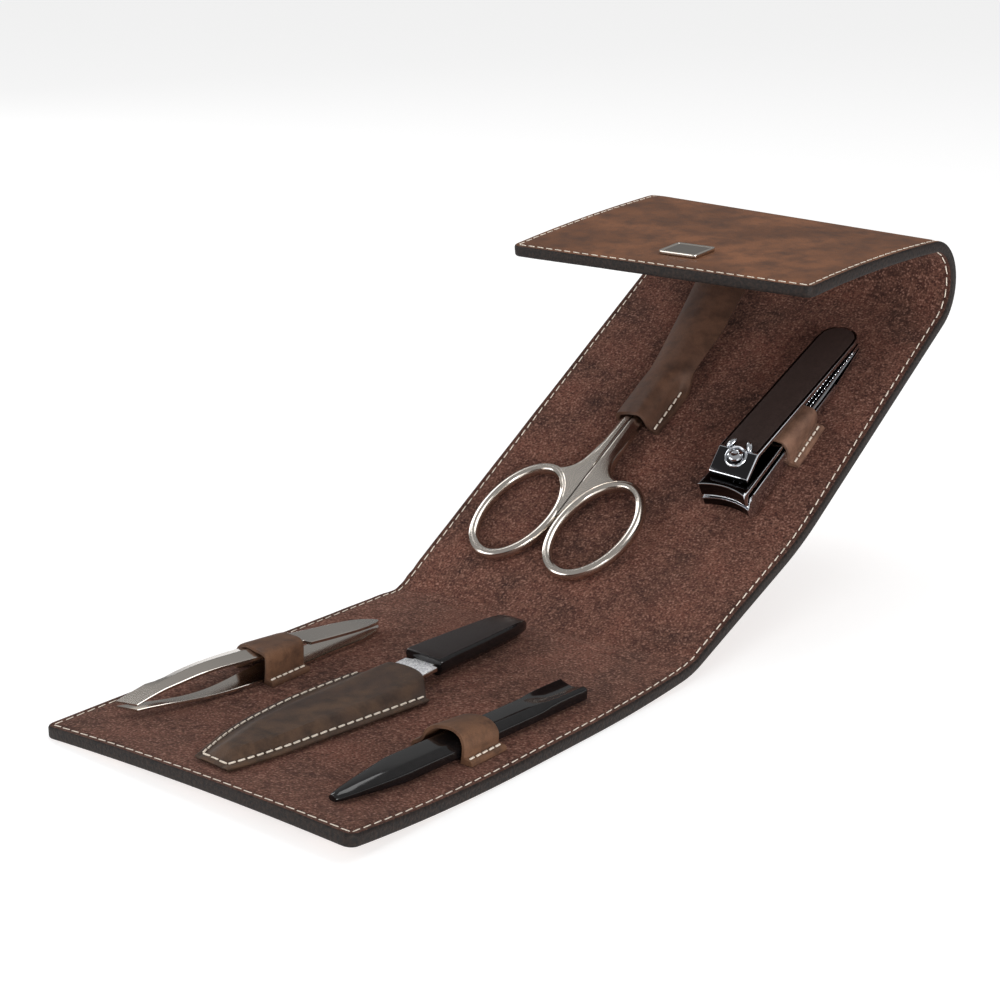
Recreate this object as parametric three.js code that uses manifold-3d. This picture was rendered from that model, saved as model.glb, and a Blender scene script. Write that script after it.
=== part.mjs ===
// Trifold leather manicure case, standing open, with its five tools in their loops.
// Millimetres, +Z up. The origin is under the middle of the lying front panel.
// The case is one leather strip. A place on it is (across, along, height): across from its left
// edge, along from its front edge over the fold and the bend, height above the suede lining.
import * as THREE from 'three';
import { mergeVertices } from 'three/addons/utils/BufferGeometryUtils.js';
import Module from 'manifold-3d';

const wasm = await Module();
wasm.setup();

// Clearances
const glue_line = 0.15;
const seat_gap = 0.3;
const running_gap = 0.35;
const overrun = 5;

// Leather stack
const outer_thickness = 2;
const board_thickness = 0.7;
const board_border = 4;
const lining_thickness = 0.95;
const strap_thickness = 1.1;
const corner_radius = 2.5;
const stack = outer_thickness + glue_line + lining_thickness;

// Tweezers
const tweezers_length = 74;
const tweezers_width = 8.4;
const tweezers_tip_width = 3.5;
const tweezers_tip_slant = 3.9;
const tweezers_tip_rise = 1.2;
const tweezers_rise_share = 0.6;
const tweezers_height = 5.6;
const tweezers_end_height = 3.3;
const tweezers_arm_thickness = 1.1;
const tweezers_weld_length = 7;
const tweezers_tip_gap = 0.8;
const tweezers_skew = 6.5;
const tweezers_tip_margin = 12;

// Nail file
const file_length = 95;
const file_handle_length = 33;
const file_handle_front_width = 11;
const file_handle_rear_width = 8;
const file_handle_height = 4.6;
const file_handle_chamfer = 1.3;
const file_tang_length = 12;
const blade_below_middle = 1.1;
const blade_width = 9.6;
const blade_thickness = 1;
const blade_point_length = 26;
const blade_point_width = 3;

// Cuticle stick
const stick_length = 74;
const stick_width = 7.8;
const stick_height = 3.7;
const stick_rear_height = 3.3;
const stick_tip_rise = 0.9;
const stick_float = 1.1;
const stick_skew = 1.6;
const stick_chamfer = 1.4;
const stick_point_length = 17;
const stick_point_width = 1.6;
const stick_point_height = 1.6;
const stick_front_margin = 9;
const stick_flute_depth = 1;
const stick_flute_length = 15;

// Scissors
const ring_width = 23.2;
const ring_length = 33.4;
const ring_wire = 2.5;
const wire_height = 2.8;
const scissors_length = 94;
const pivot_distance = 60.6;
const shank_width = 3.5;
const shank_chamfer = 0.7;
const shank_split = 0.3;
const neck_height = 8.5;
const neck_half_width = 9;
const half_layer_gap = 0.2;
const pivot_radius = 3.7;
const screw_radius = 1.3;
const screw_head_radius = 2.5;
const screw_head_height = 0.5;
const scissors_float = 0.8;
const scissors_level_share = 0.03;
const scissors_blade_width = 6.6;
const scissors_point_width = 1.4;
const shank_end_before_pivot = 6;

// Clipper
const clipper_length = 61.5;
const clipper_width = 13;
const clipper_rear_width = 9.5;
const leaf_thickness = 1.3;
const jaw_height = 9.2;
const jaw_lip = 2;
const cutting_gap = 1;
const lower_jaw_height = 4.5;
const channel_wall = 1.1;
const cutting_edge_radius = 16;
const cutting_edge_depth = 1.3;
const post_distance = 9;
const post_radius = 1.5;
const post_flange_radius = 2.5;
const post_flange_height = 0.8;
const post_head_radius = 2;
const post_head_height = 1.1;
const rivet_radius = 1.4;
const rivet_rear_margin = 4.5;
const lever_width = 10.8;
const lever_thickness = 1.25;
const lever_toe_distance = 4.6;
const lever_brow_distance = 10.6;
const lever_brow_height = 13;
const lever_overhang = 2.7;
const lever_rear_height = 5;
const lever_toe_gap = 0.2;
const clipper_skew = 0.5;
const inlay_thickness = 0.6;
const inlay_border = 0.7;

// Badge
const badge_width = 11.4;
const badge_length = 9.2;
const badge_thickness = 0.8;
const badge_edge_margin = 8.6;
const badge_offset = 1.2;

// Layout across the front panel and the back panel
const tweezers_left_margin = 10.4;
const tweezers_to_file = 21.4;
const file_to_stick = 23.4;
const stick_right_margin = 8.5;
const scissors_left_margin = 7.5;
const scissors_to_clipper = 9.3;
const clipper_right_margin = 13.3;
const tweezers_across = tweezers_left_margin + tweezers_width / 2;
const file_across = tweezers_across + (tweezers_width + blade_width) / 2 + tweezers_to_file;
const stick_across = file_across + (blade_width + stick_width) / 2 + file_to_stick;
const scissors_across = scissors_left_margin + ring_width + shank_split / 2;
const scissors_right = scissors_across + ring_width + shank_split / 2;
const clipper_across = scissors_right + scissors_to_clipper + clipper_width / 2;
const front_row_width = stick_across + stick_width / 2 + stick_right_margin;
const back_row_width = clipper_across + clipper_width / 2 + clipper_right_margin;
const case_width = Math.max(front_row_width, back_row_width);

// Layout along the strip
const file_front_margin = 8;
const file_rear_margin = 4.7;
const scissors_fold_margin = 10.6;
const scissors_bend_margin = 22.8;
const clipper_past_pivot = 27;
const fold_arc = 7.1;
const bend_arc_left = 20.3;
const bend_arc_right = 23.9;
const flap_length = 61.3;
const web_overlap = 1.5;
const panel_step = 13;
const back_step = 12;
const flap_step = 15;
const web_step = 2.7;
const front_length = file_front_margin + file_length + file_rear_margin;
const fold_end = front_length + fold_arc;
const scissors_start = fold_end + scissors_fold_margin;
const pivot_along = scissors_start + pivot_distance;
const back_end = scissors_start + scissors_length + scissors_bend_margin;
const bend_end = back_end + bend_arc_left;
const strip_end = bend_end + flap_length;
const clipper_start = pivot_along - clipper_past_pivot;

// Posture: how the two long edges of the strip rise and turn. The right edge is slacker.
const flat_from = front_length * 0.48;
const flat_to = front_length * 0.7;
const right_corner_drop = -6.6;
const right_fold_rise = 5.2;
const back_slope_left = 31.9;
const back_slope_right_low = 22.4;
const back_slope_right_high = 32.9;
const kink_before_pivot = 26.2;
const kink_arc = 15.3;
const bend_exit_left = 183;
const bend_exit_right = 178.6;
const flap_edge_left = 187.7;
const flap_edge_right = 185.5;
const front_crown = 1;
const crown_reach = 26;
const kink_along = pivot_along - kink_before_pivot;

// Loops, sheath and holster
const strap_inner_radius = 1.3;
const loop_length = 12.6;
const loop_tab = 2.3;
const stick_loop_ease = 0.6;
const clipper_loop_ease = 0.4;
const loop_along = front_length * 0.41;
const stick_loop_along = front_length * 0.38;
const clipper_loop_from_head = 21;
const clipper_loop_length = 14;
const sheath_width = 25.2;
const sheath_tip_width = 11.6;
const sheath_mouth_from_handle = 1.6;
const sheath_mouth_reach = 8.6;
const sheath_shoulder = 28;
const sheath_tip_margin = 4.8;
const sheath_right_taper = 3.7;
const holster_mouth_before_pivot = 6.2;
const holster_length = 54;
const holster_stitched_length = 15;
const holster_left_reach = 5.7;
const holster_right_reach = 8.8;
const holster_free_reach = 6.2;
const holster_left_drift = 5.4;
const holster_right_drift = 1.8;
const holster_shoulder_run = 2.2;
const holster_slope_run = 4.4;
const holster_shoulder_share = 0.88;
const holster_rear_height_share = 0.66;
const holster_opening_lift = 2.3;

const degree = Math.PI / 180;
const strip_columns = 6;
const ring_steps = 28;
const ring_sides = 8;
const corner_steps = 3;

const leather = new THREE.MeshStandardMaterial({ color: '#6b4830', roughness: 0.62, metalness: 0 });
const suede = new THREE.MeshStandardMaterial({ color: '#5b3a30', roughness: 0.95, metalness: 0 });
const cardboard = new THREE.MeshStandardMaterial({ color: '#8a7c68', roughness: 0.9, metalness: 0 });
const nickel = new THREE.MeshStandardMaterial({ color: '#c9c3ba', roughness: 0.18, metalness: 1 });
const chrome = new THREE.MeshStandardMaterial({ color: '#cfd2d6', roughness: 0.08, metalness: 1 });
const grit = new THREE.MeshStandardMaterial({ color: '#a9abb4', roughness: 0.7, metalness: 0.5 });
const black_plastic = new THREE.MeshStandardMaterial({ color: '#141314', roughness: 0.12, metalness: 0 });
const brown_inlay = new THREE.MeshStandardMaterial({ color: '#2c201d', roughness: 0.3, metalness: 0 });

// One long edge of the strip: arcs between knots, each knot a place along it and its slope there.
function longEdge(knots, startHeight) {
  const points = [{ along: 0, slope: knots[0][1] * degree, y: 0, z: startHeight }];
  const advance = (point, length, turn) => {
    const middle = point.slope + turn / 2;
    const chord = Math.abs(turn) > 0 ? length * Math.sin(turn / 2) / (turn / 2) : length;
    return {
      along: point.along + length,
      slope: point.slope + turn,
      y: point.y + chord * Math.cos(middle),
      z: point.z + chord * Math.sin(middle),
    };
  };
  for (const [along, slope] of knots.slice(1)) {
    const last = points.at(-1);
    points.push(advance(last, along - last.along, slope * degree - last.slope));
  }
  return (along) => {
    let index = 0;
    while (index < points.length - 2 && along > points[index + 1].along) index += 1;
    const [from, to] = [points[index], points[index + 1]];
    const share = (along - from.along) / (to.along - from.along);
    return advance(from, along - from.along, share * (to.slope - from.slope));
  };
}

const corner_height = flat_from * Math.tan(-right_corner_drop * degree / 2);
const leftEdge = longEdge([
  [0, 0],
  [front_length, 0],
  [fold_end, back_slope_left],
  [bend_end - bend_arc_left, back_slope_left],
  [bend_end, bend_exit_left],
  [strip_end, flap_edge_left],
], stack);
const rightEdge = longEdge([
  [0, right_corner_drop],
  [flat_from, 0],
  [flat_to, 0],
  [front_length, right_fold_rise],
  [fold_end, back_slope_right_low],
  [kink_along - kink_arc / 2, back_slope_right_low],
  [kink_along + kink_arc / 2, back_slope_right_high],
  [bend_end - bend_arc_right, back_slope_right_high],
  [bend_end, bend_exit_right],
  [strip_end, flap_edge_right],
], stack + corner_height);
const strip_knots = [
  0, flat_from, flat_to, front_length, fold_end,
  kink_along - kink_arc / 2, kink_along, kink_along + kink_arc / 2, strip_end,
];
const origin_along = (flat_from + flat_to) / 2;

// A place on the strip, as a point of the part.
function onStrip(across, along, height) {
  const left = leftEdge(along);
  const right = rightEdge(along);
  const share = across / case_width;
  const slope = THREE.MathUtils.lerp(left.slope, right.slope, share);
  const fade = Math.max(0, 1 - along / crown_reach);
  const crown = front_crown * 4 * share * (1 - share) * fade * fade;
  return new THREE.Vector3(
    across - case_width / 2,
    THREE.MathUtils.lerp(left.y, right.y, share) - height * Math.sin(slope) - origin_along,
    THREE.MathUtils.lerp(left.z, right.z, share) + height * Math.cos(slope) + crown,
  );
}

// A closed body through rings of points, one ring for each station, with flat ends. Its faces are
// split the same way above and below, so that layers of the twisted strip keep their gap.
function loft(stations, place) {
  const clockwise = THREE.ShapeUtils.isClockWise(
    stations[0].outline.map(([x, y]) => new THREE.Vector2(x, y)));
  const sections = clockwise
    ? stations.map(({ station, outline }) => ({ station, outline: [...outline].reverse() }))
    : stations;
  const count = sections[0].outline.length;
  const points = [];
  for (const { station, outline } of sections) {
    for (const [across, height] of outline) points.push(...place(across, station, height).toArray());
  }
  const faces = [];
  for (let ring = 0; ring < sections.length - 1; ring += 1) {
    for (let corner = 0; corner < count; corner += 1) {
      const next = (corner + 1) % count;
      const [a, b] = [ring * count + corner, ring * count + next];
      const [c, d] = [b + count, a + count];
      const rightward = sections[ring].outline[next][0] > sections[ring].outline[corner][0];
      faces.push(...(rightward ? [a, c, b, a, d, c] : [a, d, b, b, d, c]));
    }
  }
  const endFaces = (outline, offset, flipped) => {
    const contour = outline.map(([across, height]) => new THREE.Vector2(across, height));
    for (const [a, b, c] of THREE.ShapeUtils.triangulateShape(contour, [])) {
      const turned = contour[b].clone().sub(contour[a]).cross(contour[c].clone().sub(contour[a])) < 0;
      const [second, third] = turned === flipped ? [b, c] : [c, b];
      faces.push(offset + a, offset + second, offset + third);
    }
  };
  endFaces(sections[0].outline, 0, false);
  endFaces(sections.at(-1).outline, (sections.length - 1) * count, true);
  const geometry = new THREE.BufferGeometry();
  geometry.setAttribute('position', new THREE.Float32BufferAttribute(points, 3));
  geometry.setIndex(faces);
  return facingOut(geometry);
}

// A closed tube of an oval section round a closed plan curve.
function ringTube(halfWidth, halfLength, wire, height, steps, sides) {
  const points = [];
  const faces = [];
  for (let step = 0; step < steps; step += 1) {
    const turn = step / steps * 2 * Math.PI;
    const centre = new THREE.Vector2(Math.cos(turn) * halfWidth, Math.sin(turn) * halfLength);
    const outward = new THREE.Vector2(Math.cos(turn) * halfLength, Math.sin(turn) * halfWidth).normalize();
    for (let side = 0; side < sides; side += 1) {
      const roll = (side + 0.5) / sides * 2 * Math.PI;
      const place = centre.clone().addScaledVector(outward, Math.cos(roll) * wire / 2);
      points.push(place.x, place.y, (1 + Math.sin(roll)) * height / 2);
      const [nextStep, nextSide] = [(step + 1) % steps, (side + 1) % sides];
      const [a, b] = [step * sides + side, step * sides + nextSide];
      const [c, d] = [nextStep * sides + nextSide, nextStep * sides + side];
      faces.push(a, c, b, a, d, c);
    }
  }
  const geometry = new THREE.BufferGeometry();
  geometry.setAttribute('position', new THREE.Float32BufferAttribute(points, 3));
  geometry.setIndex(faces);
  return facingOut(geometry);
}

// Turns every face over if the body is inside out.
function facingOut(geometry) {
  const position = geometry.getAttribute('position');
  const index = geometry.getIndex().array;
  const corner = (item) => new THREE.Vector3().fromBufferAttribute(position, index[item]);
  let volume = 0;
  for (let item = 0; item < index.length; item += 3) {
    volume += corner(item).dot(corner(item + 1).cross(corner(item + 2)));
  }
  if (volume < 0) {
    for (let item = 0; item < index.length; item += 3) {
      [index[item + 1], index[item + 2]] = [index[item + 2], index[item + 1]];
    }
  }
  return geometry;
}

function solid(geometry) {
  const bare = geometry.index ? geometry.clone() : geometry;
  bare.deleteAttribute('normal');
  bare.deleteAttribute('uv');
  const merged = mergeVertices(bare);
  return new wasm.Manifold(new wasm.Mesh({
    numProp: 3,
    vertProperties: merged.getAttribute('position').array,
    triVerts: new Uint32Array(merged.getIndex().array),
  }));
}

function geometryOf(body) {
  const mesh = body.getMesh();
  const geometry = new THREE.BufferGeometry();
  geometry.setAttribute('position', new THREE.Float32BufferAttribute(mesh.vertProperties, 3));
  geometry.setIndex(new THREE.Uint32BufferAttribute(mesh.triVerts, 1));
  return geometry;
}

function piece(name, shape, material) {
  const geometry = shape.isBufferGeometry ? shape : geometryOf(shape);
  geometry.computeVertexNormals();
  const mesh = new THREE.Mesh(geometry, material);
  mesh.name = name;
  return mesh;
}

function upright(radius, from, to, centreX, centreY, sides = 20) {
  const cylinder = new THREE.CylinderGeometry(radius, radius, to - from, sides);
  cylinder.rotateX(Math.PI / 2);
  cylinder.translate(centreX, centreY, (from + to) / 2);
  return solid(cylinder);
}

function block(fromX, toX, fromY, toY, fromZ, toZ) {
  const box = new THREE.BoxGeometry(toX - fromX, toY - fromY, toZ - fromZ);
  box.translate((fromX + toX) / 2, (fromY + toY) / 2, (fromZ + toZ) / 2);
  return solid(box);
}

// A plan outline of [x, y] corners or a Shape, raised from one height to another.
function plate(outline, from, to) {
  const shape = outline instanceof THREE.Shape
    ? outline
    : new THREE.Shape(outline.map(([x, y]) => new THREE.Vector2(x, y)));
  const body = new THREE.ExtrudeGeometry(shape, { depth: to - from, bevelEnabled: false, curveSegments: 8 });
  body.translate(0, 0, from);
  return solid(body);
}

// A side outline of [y, z] corners, carried across from -width / 2 to width / 2.
function sideExtrusion(outline, width) {
  const shape = new THREE.Shape(outline.map(([y, z]) => new THREE.Vector2(y, z)));
  const body = new THREE.ExtrudeGeometry(shape, { depth: width, bevelEnabled: false });
  body.translate(0, 0, -width / 2);
  body.applyMatrix4(new THREE.Matrix4().makeBasis(
    new THREE.Vector3(0, 1, 0), new THREE.Vector3(0, 0, 1), new THREE.Vector3(1, 0, 0)));
  return solid(body);
}

// Stations of a strip piece: its ends, the strip's own knots between them, and steps in the bends.
function stationsBetween(from, to, longest) {
  const marks = [from, ...strip_knots.filter((knot) => knot > from && knot < to), to];
  const stations = [from];
  for (let index = 1; index < marks.length; index += 1) {
    const gap = marks[index] - marks[index - 1];
    const steps = Math.max(1, Math.ceil(gap / longest));
    for (let step = 1; step <= steps; step += 1) stations.push(marks[index - 1] + gap * step / steps);
  }
  return stations;
}

function slabOutline(left, right, low, high) {
  const at = (step) => left + (right - left) * step / strip_columns;
  const steps = [...Array(strip_columns + 1).keys()];
  return [...steps.map((step) => [at(step), low]), ...steps.reverse().map((step) => [at(step), high])];
}

// A leather or board layer of the strip. A rounded end has its two corners cut to a radius.
function layer(from, to, inset, low, high, longest, rounded) {
  const stations = stationsBetween(from, to, longest);
  const arc = [];
  for (let step = 0; step <= corner_steps && rounded; step += 1) {
    const turn = step / corner_steps * Math.PI / 2;
    arc.push([corner_radius * (1 - Math.cos(turn)), corner_radius * (1 - Math.sin(turn))]);
  }
  const plain = stations.filter((station) => !rounded
    || (rounded === 'front' ? station > from + corner_radius : station < to - corner_radius));
  const marks = plain.map((station) => [station, 0]);
  if (rounded === 'front') marks.unshift(...arc.map(([reach, cut]) => [from + reach, cut]));
  if (rounded === 'rear') marks.push(...arc.reverse().map(([reach, cut]) => [to - reach, cut]));
  return loft(marks.map(([station, cut]) => ({
    station,
    outline: slabOutline(inset + cut, case_width - inset - cut, low, high),
  })), onStrip);
}

// One panel: the outer leather with a recess, the stiffening board in it and the suede over both.
function panel(name, from, to, rounded, longest) {
  const outer_low = -stack;
  const outer_high = -lining_thickness - glue_line;
  const recess_low = outer_high - glue_line - board_thickness;
  const [boardFrom, boardTo] = [from + board_border, to - board_border];
  const recess = layer(boardFrom - glue_line, boardTo + glue_line, board_border - glue_line,
    recess_low - glue_line, outer_high + overrun, longest);
  const outer = solid(layer(from, to, 0, outer_low, outer_high, longest, rounded)).subtract(solid(recess));
  return {
    outer: piece(`outer_${name}`, outer, leather),
    board: piece(`board_${name}`,
      layer(boardFrom, boardTo, board_border, recess_low, outer_high - glue_line, longest), cardboard),
    lining: piece(`lining_${name}`, layer(from, to, 0, -lining_thickness, 0, longest, rounded), suede),
  };
}

// The bare leather and suede where the strip folds between two panels.
function web(name, from, to, longest) {
  const [start, end] = [from + seat_gap, to - seat_gap];
  return [
    piece(`outer_${name}`, layer(start, end, 0, -stack, -lining_thickness - glue_line, longest), leather),
    piece(`lining_${name}`, layer(start, end, 0, -lining_thickness, 0, longest), suede),
  ];
}

// The outline of an arched leather strap, from its left foot over the top to the tab at its right.
function archOutline({ centre, room, height, corner }) {
  const arch = (half, top, radius) => {
    const shoulder = [...Array(corner_steps + 1).keys()].map((step) => {
      const turn = step / corner_steps * Math.PI / 2;
      return [half - radius * (1 - Math.cos(turn)), top - radius * (1 - Math.sin(turn))];
    });
    const left = shoulder.map(([x, z]) => [centre - x, z]);
    const right = shoulder.map(([x, z]) => [centre + x, z]).reverse();
    return [[centre - half, 0], ...left, ...right, [centre + half, 0]];
  };
  const outer = arch(room / 2 + strap_thickness, height + strap_thickness, corner + strap_thickness);
  const inner = arch(room / 2, height, corner);
  const tab = outer.at(-1)[0] + loop_tab;
  outer.at(-1)[1] = strap_thickness;
  const section = [...outer, [tab, strap_thickness], [tab, 0], ...inner.reverse()];
  return section.map(([x, z]) => [x, z + glue_line]);
}

function strap(name, from, length, { centreAt, heightAt, room, corner }) {
  return piece(name, loft([0, 0.5, 1].map((share) => ({
    station: from + length * share,
    outline: archOutline({ centre: centreAt(share), height: heightAt(share), room, corner }),
  })), onStrip), leather);
}

// The frame of a straight tool that lies on the curved lining: Y along it, Z away from the lining.
// It is level with the lining at a share of the way along it.
function lieOn(from, to, levelShare = 0.5) {
  const start = onStrip(from.across, from.along, from.lift);
  const end = onStrip(to.across, to.along, to.lift);
  const across = THREE.MathUtils.lerp(from.across, to.across, levelShare);
  const along = THREE.MathUtils.lerp(from.along, to.along, levelShare);
  const rightward = onStrip(across + stack, along, 0).sub(onStrip(across - stack, along, 0));
  const away = rightward.cross(onStrip(across, along + stack, 0).sub(onStrip(across, along - stack, 0)));
  const y = end.sub(start).normalize();
  const x = y.clone().cross(away).normalize();
  const z = x.clone().cross(y);
  return new THREE.Matrix4().makeBasis(x, y, z).setPosition(start);
}

function lying(frame, ...pieces) {
  const group = new THREE.Group();
  group.add(...pieces);
  group.applyMatrix4(frame);
  return group;
}

// Tweezers: two sprung arms, welded at the rear. Y runs from the rear end to the tips.
const tweezers_rear = tweezers_tip_margin + tweezers_length;
const tweezers_frame = lieOn(
  { across: tweezers_across + tweezers_skew / 2, along: tweezers_rear, lift: seat_gap },
  { across: tweezers_across - tweezers_skew / 2, along: tweezers_tip_margin, lift: seat_gap });

function tweezersBow(y) {
  const half = tweezers_height / 2 - tweezers_arm_thickness / 2;
  const closed = tweezers_arm_thickness / 2 + half_layer_gap / 2;
  const tipHalf = (tweezers_tip_gap + tweezers_arm_thickness) / 2;
  if (y < tweezers_weld_length) return closed;
  const share = (y - tweezers_weld_length) / (tweezers_length - tweezers_weld_length);
  const end = THREE.MathUtils.lerp(closed, tipHalf, share);
  return end + (half - (closed + tipHalf) / 2) * Math.sin(Math.PI * share ** 0.85);
}

function tweezersArm(name, side) {
  const steps = 14;
  const middle = [...Array(steps + 1).keys()].map((step) => {
    const y = tweezers_length * step / steps;
    const swell = Math.sin(Math.PI * step / steps);
    const turnUp = Math.max(0, step / steps - tweezers_rise_share) / (1 - tweezers_rise_share);
    const centre = THREE.MathUtils.lerp(tweezers_end_height, tweezers_height, swell) / 2;
    return [y, centre + tweezers_tip_rise * turnUp ** 2 + side * tweezersBow(y)];
  });
  const half = tweezers_arm_thickness / 2;
  const inner = middle.map(([y, z]) => [y, z - half]);
  const outline = [...inner, ...middle.reverse().map(([y, z]) => [y, z + half])];
  const wide = tweezers_width / 2;
  const tip = tweezers_tip_width / 2;
  const plan = new THREE.Shape();
  plan.moveTo(0, 0);
  plan.quadraticCurveTo(wide * 0.9, tweezers_length * 0.04, wide * 0.95, tweezers_length * 0.25);
  plan.bezierCurveTo(wide * 1.06, tweezers_length * 0.5, wide, tweezers_length * 0.8, tip, tweezers_length);
  plan.lineTo(-tip, tweezers_length - tweezers_tip_slant);
  plan.bezierCurveTo(-wide, tweezers_length * 0.78, -wide * 1.06, tweezers_length * 0.5,
    -wide * 0.95, tweezers_length * 0.25);
  plan.quadraticCurveTo(-wide * 0.9, tweezers_length * 0.04, 0, 0);
  const blank = plate(plan, -overrun, tweezers_height + overrun);
  return piece(name, sideExtrusion(outline, tweezers_width * 2).intersect(blank), nickel);
}

function tweezers() {
  return lying(tweezers_frame,
    tweezersArm('tweezers_lower_arm', -1),
    tweezersArm('tweezers_upper_arm', 1));
}

// Nail file: a flat pointed blade with its tang in a faceted handle. Y runs from the point to the
// handle end.
const file_frame = lieOn(
  { across: file_across, along: file_front_margin, lift: seat_gap },
  { across: file_across, along: file_front_margin + file_length, lift: seat_gap });
const handle_start = file_length - file_handle_length;
const blade_low = (file_handle_height - blade_thickness) / 2 - blade_below_middle;

function bladeOutline(clearance) {
  const half = blade_width / 2 + clearance;
  const point = blade_point_width / 2 + clearance;
  const end = handle_start + file_tang_length + clearance;
  return [
    [half - point * 2, -clearance],
    [half, -clearance],
    [half, end],
    [-half, end],
    [-half, blade_point_length],
    [-half * 0.75, blade_point_length * 0.6],
  ];
}

function bladeLeftAt(y) {
  const half = blade_width / 2;
  const bend = blade_point_length * 0.6;
  const point = half - blade_point_width;
  if (y < bend) return THREE.MathUtils.lerp(point, -half * 0.75, Math.max(0, y) / bend);
  const share = Math.min(1, (y - bend) / (blade_point_length - bend));
  return THREE.MathUtils.lerp(-half * 0.75, -half, share);
}

function barOutline(width, low, high, chamfer) {
  const half = width / 2;
  return [
    [-half + chamfer * 0.4, low],
    [half - chamfer * 0.4, low],
    [half, low + chamfer * 0.4],
    [half, high - chamfer],
    [half - chamfer, high],
    [-half + chamfer, high],
    [-half, high - chamfer],
    [-half, low + chamfer * 0.4],
  ];
}

const local = (x, y, z) => new THREE.Vector3(x, y, z);

function nailFile() {
  const blade = plate(bladeOutline(0), blade_low, blade_low + blade_thickness);
  const blade_high = blade_low + blade_thickness;
  const slot = plate(bladeOutline(glue_line), blade_low - glue_line, blade_high + glue_line);
  const shares = [0, 0.12, 0.8, 1];
  const widths = [0.86, 1, 1, 0.9];
  const handle = loft(shares.map((share, index) => ({
    station: handle_start + file_handle_length * share,
    outline: barOutline(
      THREE.MathUtils.lerp(file_handle_front_width, file_handle_rear_width, share) * widths[index],
      0, file_handle_height * (share > 0 ? 1 : 0.8), file_handle_chamfer),
  })), local);
  return lying(file_frame,
    piece('file_blade', blade, grit),
    piece('file_handle', solid(handle).subtract(slot), black_plastic));
}

const stick_frame = lieOn(
  { across: stick_across - stick_skew / 2, along: stick_front_margin, lift: seat_gap - stick_tip_rise },
  { across: stick_across + stick_skew / 2, along: stick_front_margin + stick_length, lift: seat_gap });

// Cuticle stick: a bevelled bar with a pointed tip and a flute cut into its rear end.
function cuticleStick() {
  const marks = [0, 0.35, 1].map((share) => [
    stick_point_length * share,
    THREE.MathUtils.lerp(stick_point_width, stick_width, share ** 0.7),
    stick_tip_rise * (1 - share),
    THREE.MathUtils.lerp(stick_tip_rise + stick_point_height, stick_height, share ** 0.8),
  ]);
  marks.push([stick_length, stick_width, 0, stick_rear_height]);
  const bar = loft(marks.map(([station, width, low, high]) => ({
    station,
    outline: barOutline(width, low, high, Math.min(stick_chamfer, (high - low) * 0.4)),
  })), local);
  const half = stick_width / 2 - stick_chamfer * 0.8;
  const flute = loft([stick_length - stick_flute_length, stick_length + overrun].map((station, index) => ({
    station,
    outline: [
      [-half, stick_height + overrun],
      [-half, stick_height + overrun / 2],
      [0, stick_rear_height - stick_flute_depth * index],
      [half, stick_height + overrun / 2],
      [half, stick_height + overrun],
    ],
  })), local);
  return lying(stick_frame, piece('cuticle_stick', solid(bar).subtract(solid(flute)), black_plastic));
}

// Scissors: two crossed halves on a screw. Y runs from the finger rings to the points.
const scissors_frame = lieOn(
  { across: scissors_across, along: scissors_start, lift: seat_gap },
  { across: scissors_across, along: scissors_start + scissors_length, lift: seat_gap },
  scissors_level_share);
const half_layer = (wire_height - half_layer_gap) / 2;

function scissorsHalf(name, side) {
  const centreX = side * (shank_split + ring_width) / 2;
  const centreY = ring_length / 2;
  const ring = ringTube((ring_width - ring_wire) / 2, (ring_length - ring_wire) / 2, ring_wire, wire_height,
    ring_steps, ring_sides);
  ring.translate(centreX, centreY, 0);
  const near = side * shank_split / 2;
  const far = side * (shank_split / 2 + shank_width);
  const neck = new THREE.Shape();
  neck.moveTo(near, centreY);
  neck.lineTo(near, ring_length + neck_height);
  neck.lineTo(far, ring_length + neck_height);
  neck.quadraticCurveTo(far, ring_length, side * neck_half_width, ring_length - ring_wire / 2);
  neck.lineTo(side * neck_half_width, centreY);
  const hole = new THREE.Shape();
  hole.absellipse(centreX, centreY, ring_width / 2 - ring_wire * 0.6, ring_length / 2 - ring_wire * 0.6,
    0, 2 * Math.PI, false, 0);
  const neckBody = plate(neck, wire_height * 0.06, wire_height * 0.94)
    .subtract(plate(hole, -overrun, wire_height + overrun));
  const shankFrom = ring_length + neck_height / 2;
  const shankTo = pivot_distance - shank_end_before_pivot;
  const shankSection = barOutline(shank_width, 0, wire_height, shank_chamfer);
  const shank = solid(loft([shankFrom, shankTo].map((station) => ({
    station,
    outline: shankSection.map(([x, z]) => [x + (near + far) / 2, z]),
  })), local));
  const low = side < 0 ? 0 : half_layer + half_layer_gap;
  const high = low + half_layer;
  const bladeHalf = scissors_blade_width / 2;
  const point = scissors_point_width / 2;
  const blade = plate([
    [near, shankTo - shank_width],
    [far, shankTo - shank_width],
    [side * bladeHalf, pivot_distance],
    [-side * bladeHalf, pivot_distance],
    [-side * near, shankTo],
  ], low, high);
  const tip = plate([
    [-bladeHalf, pivot_distance],
    [bladeHalf, pivot_distance],
    [point, scissors_length],
    [-point, scissors_length],
  ], low, high);
  const disc = upright(pivot_radius, low, high, 0, pivot_distance, 24);
  const boreRadius = screw_radius + running_gap / 3;
  const bore = upright(boreRadius, -overrun, wire_height + overrun, 0, pivot_distance);
  const half = solid(ring).add(neckBody).add(shank).add(blade).add(disc).add(tip);
  return piece(name, half.subtract(bore), nickel);
}

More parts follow.
